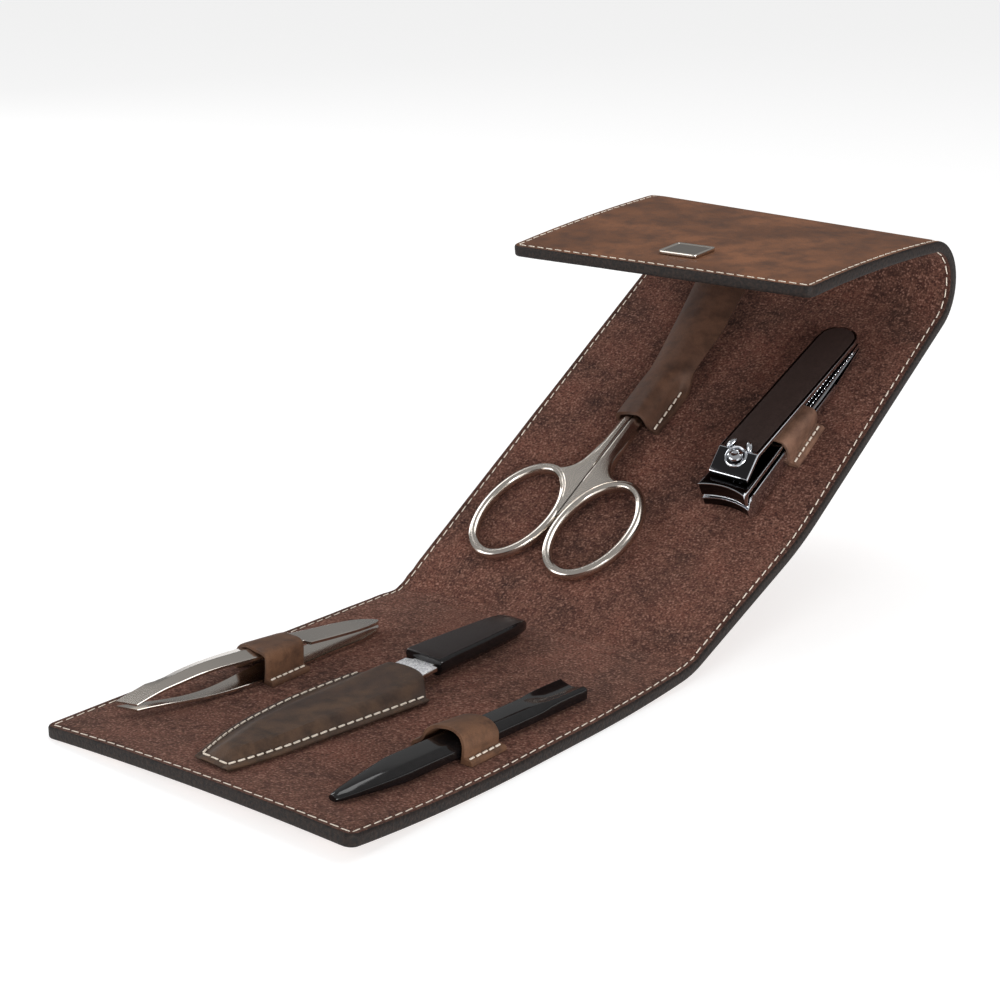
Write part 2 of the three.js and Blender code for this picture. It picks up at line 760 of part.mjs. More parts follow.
function scissors() {
  const profile = [
    [0, glue_line],
    [screw_radius, glue_line],
    [screw_radius, wire_height + glue_line],
    [screw_head_radius, wire_height + glue_line],
    [screw_head_radius, wire_height + screw_head_height * 0.6],
    [screw_head_radius * 0.8, wire_height + screw_head_height],
    [0, wire_height + screw_head_height],
  ].map(([radius, height]) => new THREE.Vector2(radius, height));
  const screw = new THREE.LatheGeometry(profile, 20);
  screw.rotateX(Math.PI / 2);
  screw.translate(0, pivot_distance, 0);
  return lying(scissors_frame,
    scissorsHalf('scissors_left_half', -1),
    scissorsHalf('scissors_right_half', 1),
    piece('scissors_screw', solid(screw), nickel));
}

// Clipper: Y runs from its cutting edges to the rear, Z up from the lining.
const clipper_frame = lieOn(
  { across: clipper_across - clipper_skew / 2, along: clipper_start, lift: seat_gap },
  { across: clipper_across + clipper_skew / 2, along: clipper_start + clipper_length, lift: seat_gap });
const leaf_rear_low = leaf_thickness + seat_gap;
const leafRise = (y) => (jaw_height - leaf_thickness - leaf_rear_low) * (1 - y / clipper_length);
const leafLow = (y) => leaf_rear_low + leafRise(y);
const leafHigh = (y) => leafLow(y) + leaf_thickness;
const rivet_distance = clipper_length - rivet_rear_margin;

function clipperPlan() {
  const wide = clipper_width / 2;
  const rear = clipper_rear_width / 2;
  const depth = Math.min(cutting_edge_depth, cutting_edge_radius);
  return plate([
    [-wide, 0],
    [0, depth],
    [wide, 0],
    [wide, post_distance],
    [rear, clipper_length * 0.8],
    [rear * 0.8, clipper_length],
    [-rear * 0.8, clipper_length],
    [-rear, clipper_length * 0.8],
    [-wide, post_distance],
  ], -overrun, jaw_height + overrun);
}

function upperJaw() {
  const outline = [
    [clipper_length, leafLow(clipper_length)],
    [clipper_length, leafHigh(clipper_length)],
    [jaw_lip, leafHigh(jaw_lip)],
    [0, leafHigh(jaw_lip)],
    [0, lower_jaw_height + cutting_gap],
    [jaw_lip * 0.4, lower_jaw_height + cutting_gap],
    [jaw_lip, leafLow(jaw_lip)],
  ];
  const bore = upright(post_radius + running_gap, -overrun, jaw_height + overrun, 0, post_distance);
  const rivetBore = upright(rivet_radius + glue_line, -overrun, jaw_height + overrun, 0, rivet_distance);
  const body = sideExtrusion(outline, clipper_width * 2).intersect(clipperPlan());
  return piece('clipper_upper_jaw', body.subtract(bore).subtract(rivetBore), chrome);
}

function lowerJaw() {
  const squeeze = (y) => cutting_gap * (1 - y / rivet_distance) + seat_gap;
  const wallTop = (y) => Math.max(leaf_thickness, leafLow(y) - squeeze(y));
  const wallEnd = clipper_length * 0.75;
  const outline = [
    [0, lower_jaw_height],
    [jaw_lip * 0.4, lower_jaw_height],
    [jaw_lip, wallTop(jaw_lip)],
    [wallEnd, wallTop(wallEnd)],
    [wallEnd + jaw_lip, leaf_thickness],
    [clipper_length, leaf_thickness],
    [clipper_length, 0],
    [jaw_lip, 0],
    [0, jaw_lip],
  ];
  const channel = block(-clipper_width / 2 + channel_wall, clipper_width / 2 - channel_wall,
    jaw_lip * 2, wallEnd, leaf_thickness, jaw_height + overrun);
  const bore = upright(post_radius + glue_line, -overrun, jaw_height + overrun, 0, post_distance);
  const rivetBore = upright(rivet_radius + glue_line, -overrun, jaw_height + overrun, 0, rivet_distance);
  const body = sideExtrusion(outline, clipper_width * 2).intersect(clipperPlan());
  return piece('clipper_lower_jaw', body.subtract(channel).subtract(bore).subtract(rivetBore), chrome);
}

// Side line of the lever: toe, brow and rear end of its upper face.
const lever_toe_height = jaw_height + lever_toe_gap;
const lever_rear = clipper_length + lever_overhang;
const lever_tail_slope = (lever_brow_height - lever_rear_height) / (lever_rear - lever_brow_distance);
const lever_face_slope = (lever_brow_height - lever_toe_height - lever_thickness)
  / (lever_brow_distance - lever_toe_distance);
const leverFace = (y) => lever_toe_height + lever_thickness + (y - lever_toe_distance) * lever_face_slope;
const post_seat = leverFace(post_distance);

function leverPlan(inset) {
  const half = lever_width / 2 - inset;
  const plan = new THREE.Shape();
  plan.moveTo(-half, lever_toe_distance - overrun);
  plan.lineTo(half, lever_toe_distance - overrun);
  plan.lineTo(half, lever_rear - inset - half * 0.55);
  plan.quadraticCurveTo(half * 0.95, lever_rear - inset, 0, lever_rear - inset);
  plan.quadraticCurveTo(-half * 0.95, lever_rear - inset, -half, lever_rear - inset - half * 0.55);
  return plate(plan, -overrun, lever_brow_height + overrun);
}

function lever() {
  const tailLow = lever_thickness * 1.02;
  const outline = [
    [lever_toe_distance, lever_toe_height],
    [lever_toe_distance, lever_toe_height + lever_thickness],
    [lever_brow_distance, lever_brow_height],
    [lever_rear, lever_rear_height],
    [lever_rear, lever_rear_height - tailLow],
    [lever_brow_distance, lever_brow_height - tailLow - lever_thickness * 0.2],
  ];
  const body = sideExtrusion(outline, lever_width * 2).intersect(leverPlan(0));
  const holeRadius = post_radius + running_gap * 1.2;
  const hole = upright(holeRadius, -overrun, lever_brow_height + overrun, 0, post_distance);
  const room = upright(post_head_radius + running_gap * 1.4, post_seat - seat_gap * 2,
    lever_brow_height + overrun, 0, post_distance, 24);
  const recessFrom = lever_brow_distance + inlay_border;
  const recess = sideExtrusion([
    [recessFrom, lever_brow_height - lever_tail_slope * inlay_border - inlay_thickness],
    [lever_rear, lever_rear_height - inlay_thickness],
    [lever_rear, lever_brow_height + overrun],
    [recessFrom, lever_brow_height + overrun],
  ], lever_width * 2).intersect(leverPlan(inlay_border));
  return piece('clipper_lever', body.subtract(hole).subtract(room).subtract(recess), chrome);
}

function leverInlay() {
  const from = lever_brow_distance + inlay_border + glue_line;
  const top = (y) => lever_brow_height - lever_tail_slope * (y - lever_brow_distance);
  const outline = [
    [from, top(from) - inlay_thickness + glue_line],
    [lever_rear, top(lever_rear) - inlay_thickness + glue_line],
    [lever_rear, top(lever_rear) + glue_line],
    [from, top(from) + glue_line],
  ];
  const body = sideExtrusion(outline, lever_width * 2).intersect(leverPlan(inlay_border + glue_line));
  return piece('clipper_lever_inlay', body, brown_inlay);
}

function clipperPost() {
  const shaftTop = post_seat;
  const profile = [
    [0, seat_gap],
    [post_radius, seat_gap],
    [post_radius, leaf_thickness + glue_line],
    [post_flange_radius, leaf_thickness + glue_line],
    [post_flange_radius, leaf_thickness + glue_line + post_flange_height],
    [post_radius, leaf_thickness + glue_line + post_flange_height],
    [post_radius, shaftTop],
    [post_head_radius, shaftTop],
    [post_head_radius, shaftTop + post_head_height * 0.6],
    [post_head_radius * 0.6, shaftTop + post_head_height],
    [0, shaftTop + post_head_height],
  ].map(([radius, height]) => new THREE.Vector2(radius, height));
  const post = new THREE.LatheGeometry(profile, 20);
  post.rotateX(Math.PI / 2);
  post.translate(0, post_distance, 0);
  return piece('clipper_post', solid(post), chrome);
}

function clipperRivet() {
  const top = leafHigh(rivet_distance) - glue_line;
  return piece('clipper_rivet', upright(rivet_radius, seat_gap, top, 0, rivet_distance), chrome);
}

function clipper() {
  return lying(clipper_frame, lowerJaw(), upperJaw(), clipperRivet(), clipperPost(), lever(), leverInlay());
}

// Straps that hold the tweezers, the stick and the clipper.
function straps() {
  const skewAt = (along) => tweezers_across
    + tweezers_skew * ((along - tweezers_tip_margin) / tweezers_length - 0.5);
  const leafTopAt = (share) => leafHigh(clipper_loop_from_head + clipper_loop_length * share) + seat_gap;
  return {
    tweezers: strap('tweezers_loop', loop_along, loop_length, {
      centreAt: (share) => skewAt(loop_along + loop_length * share),
      heightAt: () => tweezers_height + seat_gap * 2,
      room: tweezers_width * 1.05 + running_gap * 2,
      corner: strap_inner_radius,
    }),
    stick: strap('stick_loop', stick_loop_along, loop_length, {
      centreAt: () => stick_across,
      heightAt: (share) => THREE.MathUtils.lerp(stick_height, (stick_height + stick_rear_height) / 2, share)
        + stick_float + seat_gap,
      room: stick_width + running_gap * 2 + stick_loop_ease,
      corner: strap_inner_radius + stick_chamfer,
    }),
    clipper: strap('clipper_loop', clipper_start + clipper_loop_from_head, clipper_loop_length, {
      centreAt: () => clipper_across,
      heightAt: (share) => leafTopAt(share) + seat_gap * 1.3,
      room: clipper_width + running_gap * 2 + clipper_loop_ease,
      corner: strap_inner_radius,
    }),
  };
}

// The pointed sheath that the file's blade slides into.
function fileSheath() {
  const from = file_front_margin - sheath_tip_margin;
  const mouth = file_front_margin + handle_start - sheath_mouth_from_handle;
  const straight = mouth - sheath_mouth_reach;
  const right = file_across + sheath_width / 2;
  const left = right - sheath_width;
  const crown = blade_low + blade_thickness + strap_thickness + seat_gap * 3;
  const edges = (station) => {
    const along = station - from;
    const taper = Math.min(1, along / sheath_shoulder);
    const shoulder = Math.sqrt(1 - (1 - taper) ** 2);
    const rightEdge = right - sheath_right_taper * (1 - Math.min(1, along / (straight - from)));
    const tipLeft = right - sheath_right_taper - sheath_tip_width;
    return [THREE.MathUtils.lerp(tipLeft, left, shoulder), rightEdge];
  };
  const shares = [0, 0.12, 0.25, 0.42, 0.6, 0.8, 1];
  const marks = shares.map((share) => {
    const station = from + (straight - from) * share;
    return [station, ...edges(station)];
  });
  for (const turn of [30, 55, 75]) {
    const cut = (1 - Math.cos(turn * degree)) * sheath_width * 0.9;
    const [leftEdge, rightEdge] = edges(straight);
    const station = straight + Math.sin(turn * degree) * sheath_mouth_reach;
    marks.push([station, leftEdge + cut * 0.25, rightEdge - cut * 0.85]);
  }
  const sections = marks.map(([station, leftEdge, rightEdge]) => {
    const slope = strap_thickness * 0.8;
    const rise = THREE.MathUtils.clamp((station - from) / sheath_tip_margin - 0.4, 0, 1);
    const top = THREE.MathUtils.lerp(strap_thickness, crown, rise);
    const bladeLeft = bladeLeftAt(station - file_front_margin);
    const crownRight = Math.min(rightEdge - slope, file_across + blade_width / 2 + strap_thickness);
    const crownLeft = Math.min(crownRight - slope * 3,
      Math.max(leftEdge + slope, file_across + bladeLeft - strap_thickness));
    return {
      station,
      outline: [
        [leftEdge, 0],
        [(leftEdge + rightEdge) / 2, 0],
        [rightEdge, 0],
        [rightEdge, strap_thickness],
        [crownRight, top - slope * 0.4],
        [crownRight - slope, top],
        [crownLeft + slope, top],
        [crownLeft, top - slope * 0.4],
        [leftEdge, strap_thickness],
      ].map(([x, z]) => [x, z + glue_line]),
    };
  });
  const pocket = plate(bladeOutline(seat_gap), blade_low - seat_gap, blade_low + blade_thickness + seat_gap)
    .transform(file_frame.toArray());
  return piece('file_sheath', solid(loft(sections, onStrip)).subtract(pocket), leather);
}

// The holster: one piece of leather over the shanks and blades, sewn down at its right edge by the
// mouth and lifting free of the lining beyond the stitches.
function holsterOutline(along) {
  const t = strap_thickness;
  const mouth_height = wire_height + screw_head_height + scissors_float + seat_gap * 2;
  const past = Math.max(0, along - holster_stitched_length);
  const rest = past / (holster_length - holster_stitched_length);
  const free = THREE.MathUtils.smoothstep(past, 0, holster_stitched_length * 0.5);
  const eased = (sewn, loose) => THREE.MathUtils.lerp(sewn, loose, free);
  const height = mouth_height * THREE.MathUtils.lerp(1, holster_rear_height_share, rest);
  const left = scissors_across - holster_left_reach - holster_left_drift * rest ** 0.7;
  const right = scissors_across - holster_right_drift * rest + eased(holster_right_reach, holster_free_reach);
  const lift = holster_opening_lift * free;
  const wallTop = eased(right - loop_tab - t, right - t);
  const rightTop = eased(height, Math.max(lift, height * 0.7));
  const slopeTo = (share) => THREE.MathUtils.lerp(height, rightTop, share);
  return [
    [left, 0],
    [left + t, 0],
    [left + t * 1.35, height * 0.5],
    [left + holster_shoulder_run, height * holster_shoulder_share],
    [left + holster_slope_run, height],
    [wallTop - t, slopeTo(0.3)],
    [wallTop, eased(height * 0.5, rightTop)],
    [eased(wallTop + t * 0.4, right - t * 0.6), eased(0, rightTop * 0.9)],
    [right, eased(0, rightTop * 0.8)],
    [right, eased(t, rightTop * 0.8 + t)],
    [eased(wallTop + t * 1.5, right - t * 0.6), eased(t, rightTop * 0.9 + t)],
    [wallTop + t * eased(0.8, 0), eased(height * 0.55 + t * 0.4, rightTop + t)],
    [wallTop - t, slopeTo(0.4) + t],
    [left + holster_slope_run - t * 0.4, height + t],
    [left + holster_shoulder_run - t * 0.7, height * holster_shoulder_share + t],
    [left + t * 0.25, height * 0.55 + t * 0.4],
  ].map(([x, z]) => [x, z + glue_line]);
}

function scissorsHolster() {
  const from = pivot_along - holster_mouth_before_pivot;
  const shares = [0, 0.14, 0.27, 0.34, 0.42, 0.6, 0.8, 1];
  return piece('scissors_holster', loft(shares.map((share) => ({
    station: from + holster_length * share,
    outline: holsterOutline(holster_length * share),
  })), onStrip), leather);
}

// The blank metal badge on the flap.
function badge() {
  const along = strip_end - badge_edge_margin - badge_length / 2;
  const frame = lieOn(
    { across: case_width / 2 + badge_offset, along: along - badge_length / 2, lift: 0 },
    { across: case_width / 2 + badge_offset, along: along + badge_length / 2, lift: 0 });
  const half = badge_width / 2;
  const high = -stack - glue_line;
  return lying(frame, piece('badge_plate',
    block(-half, half, 0, badge_length, high - badge_thickness, high), nickel));
}

const front = panel('front', 0, front_length - web_overlap, 'front', panel_step);
const bend_start = bend_end - bend_arc_right;
const back = panel('back', fold_end + web_overlap, bend_start - web_overlap, null, back_step);
const flap = panel('flap', bend_end + web_overlap, strip_end, 'rear', flap_step);
const held = straps();

const part = new THREE.Group();
part.add(
  front.outer, front.board, front.lining,
  ...web('fold', front_length - web_overlap, fold_end + web_overlap, web_step),
  back.outer, back.board, back.lining,
  ...web('bend', bend_start - web_overlap, bend_end + web_overlap, web_step),
  flap.outer, flap.board, flap.lining,
  held.tweezers, fileSheath(), held.stick, held.clipper, scissorsHolster(),
  badge(),
  tweezers(), nailFile(), cuticleStick(), scissors(), clipper(),
);

export default part;
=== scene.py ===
# A trifold leather manicure case, standing open with its five tools in their holders.
# Shapes are worked in millimetres, most of them flat, and then laid on the case's folded strip.
import math

import bmesh
import bpy
from mathutils import Matrix, Vector, noise


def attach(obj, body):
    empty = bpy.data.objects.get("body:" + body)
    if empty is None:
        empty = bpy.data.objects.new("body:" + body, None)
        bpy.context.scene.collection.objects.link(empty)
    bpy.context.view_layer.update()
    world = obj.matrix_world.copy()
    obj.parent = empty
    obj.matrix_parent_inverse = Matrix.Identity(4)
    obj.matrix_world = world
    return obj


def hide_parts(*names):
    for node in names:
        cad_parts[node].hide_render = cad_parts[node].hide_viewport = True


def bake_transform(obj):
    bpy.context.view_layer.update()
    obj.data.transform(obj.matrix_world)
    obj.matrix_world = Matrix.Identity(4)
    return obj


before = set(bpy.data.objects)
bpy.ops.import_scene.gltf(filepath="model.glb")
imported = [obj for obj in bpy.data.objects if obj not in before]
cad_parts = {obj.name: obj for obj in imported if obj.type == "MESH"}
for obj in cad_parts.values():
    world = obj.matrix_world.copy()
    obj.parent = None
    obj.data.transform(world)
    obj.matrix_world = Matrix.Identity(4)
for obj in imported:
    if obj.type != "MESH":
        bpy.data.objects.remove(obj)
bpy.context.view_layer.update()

MM = 0.001

# The strip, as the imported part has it: places along it, then its layers
case_width = 89.8
front_length = 107.7
fold_end = 114.8
back_end_left = 242.2
back_end_right = 238.6
bend_end = 262.5
strip_end = 323.8
split_along = 176.0
origin_along = 63.543
lining_thickness = 0.95
stack = 3.1
corner_radius = 2.5
glue_line = 0.15
layer_gap = 0.02
seat_gap = 0.3
strap_thickness = 1.1
crown_height = 1.0
crown_reach = 26.0
front_droop = 6.6
droop_end = 51.696

# Each long edge: places along it, with its slope there in degrees
LEFT_KNOTS = ((0, 0), (front_length, 0), (fold_end, 31.9), (back_end_left, 31.9), (bend_end, 183),
    (strip_end, 187.7))
RIGHT_KNOTS = ((0, -front_droop), (droop_end, 0), (75.39, 0), (front_length, 5.2), (fold_end, 22.4),
    (152.15, 22.4), (167.45, 32.9), (back_end_right, 32.9), (bend_end, 178.6), (strip_end, 185.5))


def clamp(value, low=0.0, high=1.0):
    return max(low, min(high, value))


def mix(a, b, share):
    return a + (b - a) * share


def smooth(share):
    share = clamp(share)
    return share * share * (3 - 2 * share)


def long_edge(knots, start_height):
    """One long edge of the strip: arcs between knots, each a place along it and its slope there."""
    points = [(0.0, math.radians(knots[0][1]), 0.0, start_height)]

    def advance(point, length, turn):
        along, slope, y, z = point
        middle = slope + turn / 2
        chord = length * math.sin(turn / 2) / (turn / 2) if abs(turn) > 1e-9 else length
        return (along + length, slope + turn, y + chord * math.cos(middle), z + chord * math.sin(middle))

    for along, slope in knots[1:]:
        last = points[-1]
        points.append(advance(last, along - last[0], math.radians(slope) - last[1]))

    def at(along):
        index = 0
        while index < len(points) - 2 and along > points[index + 1][0]:
            index += 1
        start, end = points[index], points[index + 1]
        share = (along - start[0]) / (end[0] - start[0])
        return advance(start, along - start[0], share * (end[1] - start[1]))[1:]

    return at


left_edge = long_edge(LEFT_KNOTS, stack)
right_edge = long_edge(RIGHT_KNOTS, stack + droop_end * math.tan(math.radians(front_droop) / 2))


def on_strip(across, along, height):
    """A place on the strip, from its left edge, its front edge and its lining, as a point in space."""
    left, right = left_edge(along), right_edge(along)
    share = across / case_width
    slope = mix(left[0], right[0], share)
    fade = max(0.0, 1 - along / crown_reach)
    crown = crown_height * 4 * share * (1 - share) * fade * fade
    return Vector((across - case_width / 2,
        mix(left[1], right[1], share) - height * math.sin(slope) - origin_along,
        mix(left[2], right[2], share) + height * math.cos(slope) + crown))


def lie_on(start_at, end_at, level_share=0.5):
    """The frame of a straight tool on the strip: Y along it, Z away from the lining."""
    start, end = on_strip(*start_at), on_strip(*end_at)
    across = mix(start_at[0], end_at[0], level_share)
    along = mix(start_at[1], end_at[1], level_share)
    rightward = on_strip(across + stack, along, 0) - on_strip(across - stack, along, 0)
    away = rightward.cross(on_strip(across, along + stack, 0) - on_strip(across, along - stack, 0))
    y = (end - start).normalized()
    x = y.cross(away).normalized()
    return Matrix.Translation(start) @ Matrix((x, y, x.cross(y))).transposed().to_4x4()


# Materials

def linear(code):
    """An sRGB hex colour as the linear colour that the shader works in."""
    channels = [int(code[i:i + 2], 16) / 255 for i in (1, 3, 5)]
    return (*[c / 12.92 if c <= 0.04045 else ((c + 0.055) / 1.055) ** 2.4 for c in channels], 1.0)


def per_mm(size):
    """The pattern scale that gives features of this many millimetres."""
    return 1 / (size * MM)


def fill(tree, node, values):
    """Sets a node's sockets, by name or number, to values or to the sockets that feed them."""
    for key, value in values.items():
        if isinstance(value, bpy.types.NodeSocket):
            tree.links.new(value, node.inputs[key])
        else:
            node.inputs[key].default_value = value


def add(tree, kind, values, out=0, **settings):
    """Adds a shader node with its sockets and its own settings, and gives one of its outputs."""
    node = tree.nodes.new("ShaderNode" + kind)
    for key, value in settings.items():
        setattr(node, key, value)
    fill(tree, node, values)
    return node.outputs[out]


def material(name, **shader_values):
    """A new material, its nodes, its shader and the Object coordinates that its patterns follow."""
    look = bpy.data.materials.new(name)
    look.use_nodes = True
    tree = look.node_tree
    shader = tree.nodes["Principled BSDF"]
    fill(tree, shader, {key.replace("_", " "): value for key, value in shader_values.items()})
    return look, tree, shader, add(tree, "TexCoord", {}, "Object")


def layered(tree, base, *layers):
    """Tint over tint: each covers more or less as its mask runs from low to high."""
    colour = linear(base)
    for mask, low, high, cover_at_low, cover_at_high, tint in layers:
        cover = add(tree, "MapRange", {0: mask, 1: low, 2: high, 3: cover_at_low, 4: cover_at_high})
        colour = add(tree, "Mix", {0: cover, 6: colour, 7: linear(tint)}, 2, data_type="RGBA")
    return colour


def suede_lining():
    """Split pigskin, brushed to a nap: cloudy red-brown with light and dark fibres, and no gloss."""
    look, tree, shader, where = material("brushed_suede", Roughness=0.95, Sheen_Weight=0.25,
        Sheen_Roughness=0.45, Sheen_Tint=linear("#c09a88"), Specular_IOR_Level=0.2)
    cloud = add(tree, "TexNoise", {"Vector": where, "Scale": per_mm(13), "Detail": 3.0})
    nap = add(tree, "TexNoise", {"Vector": where, "Scale": per_mm(1.9), "Detail": 3.0})
    # Real nap fibres are about 0.1 mm; these are drawn at 0.55 mm so that they show
    fibre = add(tree, "TexNoise", {"Vector": where, "Scale": per_mm(0.55), "Detail": 2.0})
    # Within 3 mm of the edge the nap is pressed flat and burnished darker
    rim = add(tree, "Attribute", {}, "Fac", attribute_name="rim")
    colour = layered(tree, "#37211c",
        (cloud, 0.34, 0.68, 0.0, 1.0, "#673f34"),
        (nap, 0.35, 0.72, 0.0, 0.65, "#7a5547"),
        (fibre, 0.3, 0.52, 0.85, 0.0, "#241412"),
        (fibre, 0.56, 0.74, 0.0, 0.55, "#b58a7a"),
        (rim, 0.0, 1.0, 0.0, 0.55, "#2e1d19"))
    relief = add(tree, "Mix", {0: 0.35, 2: fibre, 3: nap}, data_type="FLOAT")
    bump = add(tree, "Bump", {"Strength": 0.75, "Distance": 0.00035, "Height": relief})
    fill(tree, shader, {"Base Color": colour, "Normal": bump})
    return look


def pull_up_leather(name, dark, base, light, cloud_size, roughness):
    """Oiled and waxed cowhide: the colour lightens where it was bent or rubbed, over a fine grain."""
    look, tree, shader, where = material(name, IOR=1.48, Specular_IOR_Level=0.3)
    cloud = add(tree, "TexNoise",
        {"Vector": where, "Scale": per_mm(cloud_size), "Detail": 4.0, "Distortion": 0.6})
    rub = add(tree, "TexNoise",
        {"Vector": where, "Scale": per_mm(cloud_size / 4), "Detail": 5.0, "Roughness": 0.65})
    # Hair pores of this hide are about 0.15 mm; they are drawn at 0.35 mm so that they show
    pores = add(tree, "TexVoronoi", {"Vector": where, "Scale": per_mm(0.35)})
    colour = layered(tree, base,
        (cloud, 0.36, 0.66, 0.0, 1.0, light),
        (rub, 0.3, 0.58, 0.8, 0.0, dark),
        (pores, 0.0, 0.45, 0.4, 0.0, dark))
    gloss = add(tree, "MapRange", {0: rub, 3: roughness - 0.12, 4: roughness + 0.18})
    grain = add(tree, "Mix", {0: 0.5, 2: pores, 3: rub}, data_type="FLOAT")
    bump = add(tree, "Bump", {"Strength": 0.35, "Distance": 0.0002, "Height": grain})
    fill(tree, shader, {"Base Color": colour, "Roughness": gloss, "Normal": bump})
    return look


def edge_paint():
    """Cut leather edges, dyed dark and waxed: nearly black, with the fibres still showing faintly."""
    look, tree, shader, where = material("waxed_edge", Roughness=0.6, Specular_IOR_Level=0.25)
    fibre = add(tree, "TexNoise", {"Vector": where, "Scale": per_mm(0.7), "Detail": 4.0})
    colour = layered(tree, "#100c0b", (fibre, 0.35, 0.7, 0.0, 1.0, "#2b201b"))
    bump = add(tree, "Bump", {"Strength": 0.5, "Distance": 0.0003, "Height": fibre})
    fill(tree, shader, {"Base Color": colour, "Normal": bump})
    return look


def sewing_thread():
    """Bonded polyester thread: cream, matt, with the twist of its plies."""
    look, tree, shader, where = material("bonded_thread", Roughness=0.7)
    ply = add(tree, "TexNoise", {"Vector": where, "Scale": per_mm(0.4), "Detail": 2.0})
    colour = add(tree, "Mix", {0: ply, 6: linear("#c8b8a4"), 7: linear("#fdf3e6")}, 2, data_type="RGBA")
    bump = add(tree, "Bump", {"Strength": 0.5, "Distance": 0.0001, "Height": ply})
    fill(tree, shader, {"Base Color": colour, "Normal": bump})
    return look


def plated(name, colour, roughness, spread, streak):
    """Nickel or chrome plate over polished steel: a mirror, faintly waved by the polishing under it."""
    look, tree, shader, where = material(name, Metallic=1.0, Base_Color=linear(colour))
    stretched = add(tree, "Mapping", {0: where, 3: (1.0, 0.12, 1.0)})
    haze = add(tree, "TexNoise", {"Vector": stretched, "Scale": per_mm(streak), "Detail": 1.0})
    gloss = add(tree, "MapRange", {0: haze, 3: roughness - spread, 4: roughness + spread})
    wave = add(tree, "TexNoise", {"Vector": where, "Scale": per_mm(7), "Detail": 0.0})
    bump = add(tree, "Bump", {"Strength": 0.3, "Distance": 0.00008, "Height": wave})
    fill(tree, shader, {"Roughness": gloss, "Normal": bump})
    return look


def abrasive_grit():
    """Corundum grit in a nickel coat on the file: a grey sparkle of separate grains."""
    look, tree, shader, where = material("corundum_grit", Metallic=0.35, Roughness=0.4)
    # Grit this fine is 0.12 mm; it is drawn at 0.28 mm so that the grains show
    grains = add(tree, "TexVoronoi", {"Vector": where, "Scale": per_mm(0.28)}, "Color")
    tone = add(tree, "SeparateColor", {0: grains})
    colour = add(tree, "Mix", {0: tone, 6: linear("#b4b4ba"), 7: linear("#ffffff")}, 2, data_type="RGBA")
    bump = add(tree, "Bump", {"Strength": 0.9, "Distance": 0.0003, "Height": tone.node.outputs[1]})
    fill(tree, shader, {"Base Color": colour, "Normal": bump})
    return look


def moulded_black(name, colour, roughness, orange_peel, level=0.5):
    """Injection-moulded ABS: black, with the faint waviness of a moulded skin."""
    look, tree, shader, where = material(name, IOR=1.53, Specular_IOR_Level=level)
    wave = add(tree, "TexNoise", {"Vector": where, "Scale": per_mm(orange_peel), "Detail": 2.0})
    tint = add(tree, "Mix", {0: wave, 6: linear("#070606"), 7: linear(colour)}, 2, data_type="RGBA")
    gloss = add(tree, "MapRange", {0: wave, 3: roughness * 0.7, 4: roughness * 1.4})
    bump = add(tree, "Bump", {"Strength": 0.1, "Distance": 0.0001, "Height": wave})
    fill(tree, shader, {"Base Color": tint, "Roughness": gloss, "Normal": bump})
    return look


def floor_paper():
    """White seamless paper, lit from below as well, so that shadows on it stay faint."""
    look, tree, shader, where = material("seamless_paper", Roughness=0.9, Emission_Strength=0.66,
        Emission_Color=linear("#ffffff"))
    fibre = add(tree, "TexNoise", {"Vector": where, "Scale": per_mm(3), "Detail": 2.0})
    tint = add(tree, "Mix", {0: fibre, 6: linear("#bcbcbc"), 7: linear("#c4c4c4")}, 2, data_type="RGBA")
    fill(tree, shader, {"Base Color": tint})
    return look


suede = suede_lining()
hide = pull_up_leather("pull_up_leather", "#4a3022", "#6b452e", "#8c5c3e", 24, 0.55)
strap_hide = pull_up_leather("pull_up_straps", "#3d2a20", "#5c402f", "#6e4e39", 14, 0.6)
pocket_hide = pull_up_leather("pull_up_pocket", "#2b201a", "#42322a", "#594333", 16, 0.6)
holster_hide = pull_up_leather("pull_up_holster", "#33231c", "#4e372c", "#614434", 22, 0.6)
loop_hide = pull_up_leather("pull_up_loop", "#4a352a", "#715243", "#8a6854", 14, 0.55)
waxed_edge = edge_paint()
thread = sewing_thread()
nickel = plated("nickel_plate", "#d0c8bf", 0.16, 0.02, 3.0)
chrome = plated("chrome_plate", "#d3d6db", 0.08, 0.03, 0.8)
# Polished flats between bright edges: their dark base colour is a painted dark reflection, standing in for
# the dark side of a room
painted_reflection_chrome = plated("chrome_painted_reflection", "#3b3a3c", 0.12, 0.04, 1.5)
antique = plated("antique_nickel", "#8f8982", 0.36, 0.1, 0.6)
grit = abrasive_grit()
gloss_black = moulded_black("gloss_abs", "#161415", 0.1, 1.6)
handle_black = moulded_black("moulded_abs", "#2b1f1e", 0.34, 0.4, 0.25)
inlay_brown = moulded_black("lacquered_inlay", "#4a3b37", 0.4, 0.4)


# Making pieces

def made(name, bm, materials, body=None, stands_for=(), place=None, sharp=38, blended=None):
    """Lays a flat shape in its place, scales it to metres and gives it to its body."""
    for vert in bm.verts:
        vert.co = place(*vert.co) if callable(place) else place @ vert.co
    bmesh.ops.recalc_face_normals(bm, faces=bm.faces)
    bmesh.ops.scale(bm, vec=(MM, MM, MM), verts=bm.verts)
    mesh = bpy.data.meshes.new(name)
    bm.to_mesh(mesh)
    bm.free()
    for item in materials:
        mesh.materials.append(item)
    mesh.shade_smooth()
    mesh.set_sharp_from_angle(angle=math.radians(sharp))
    piece = bpy.data.objects.new(name, mesh)
    bpy.context.scene.collection.objects.link(piece)
    if blended:
        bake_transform(piece)
    else:
        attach(piece, body)
    if stands_for:
        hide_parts(*stands_for)


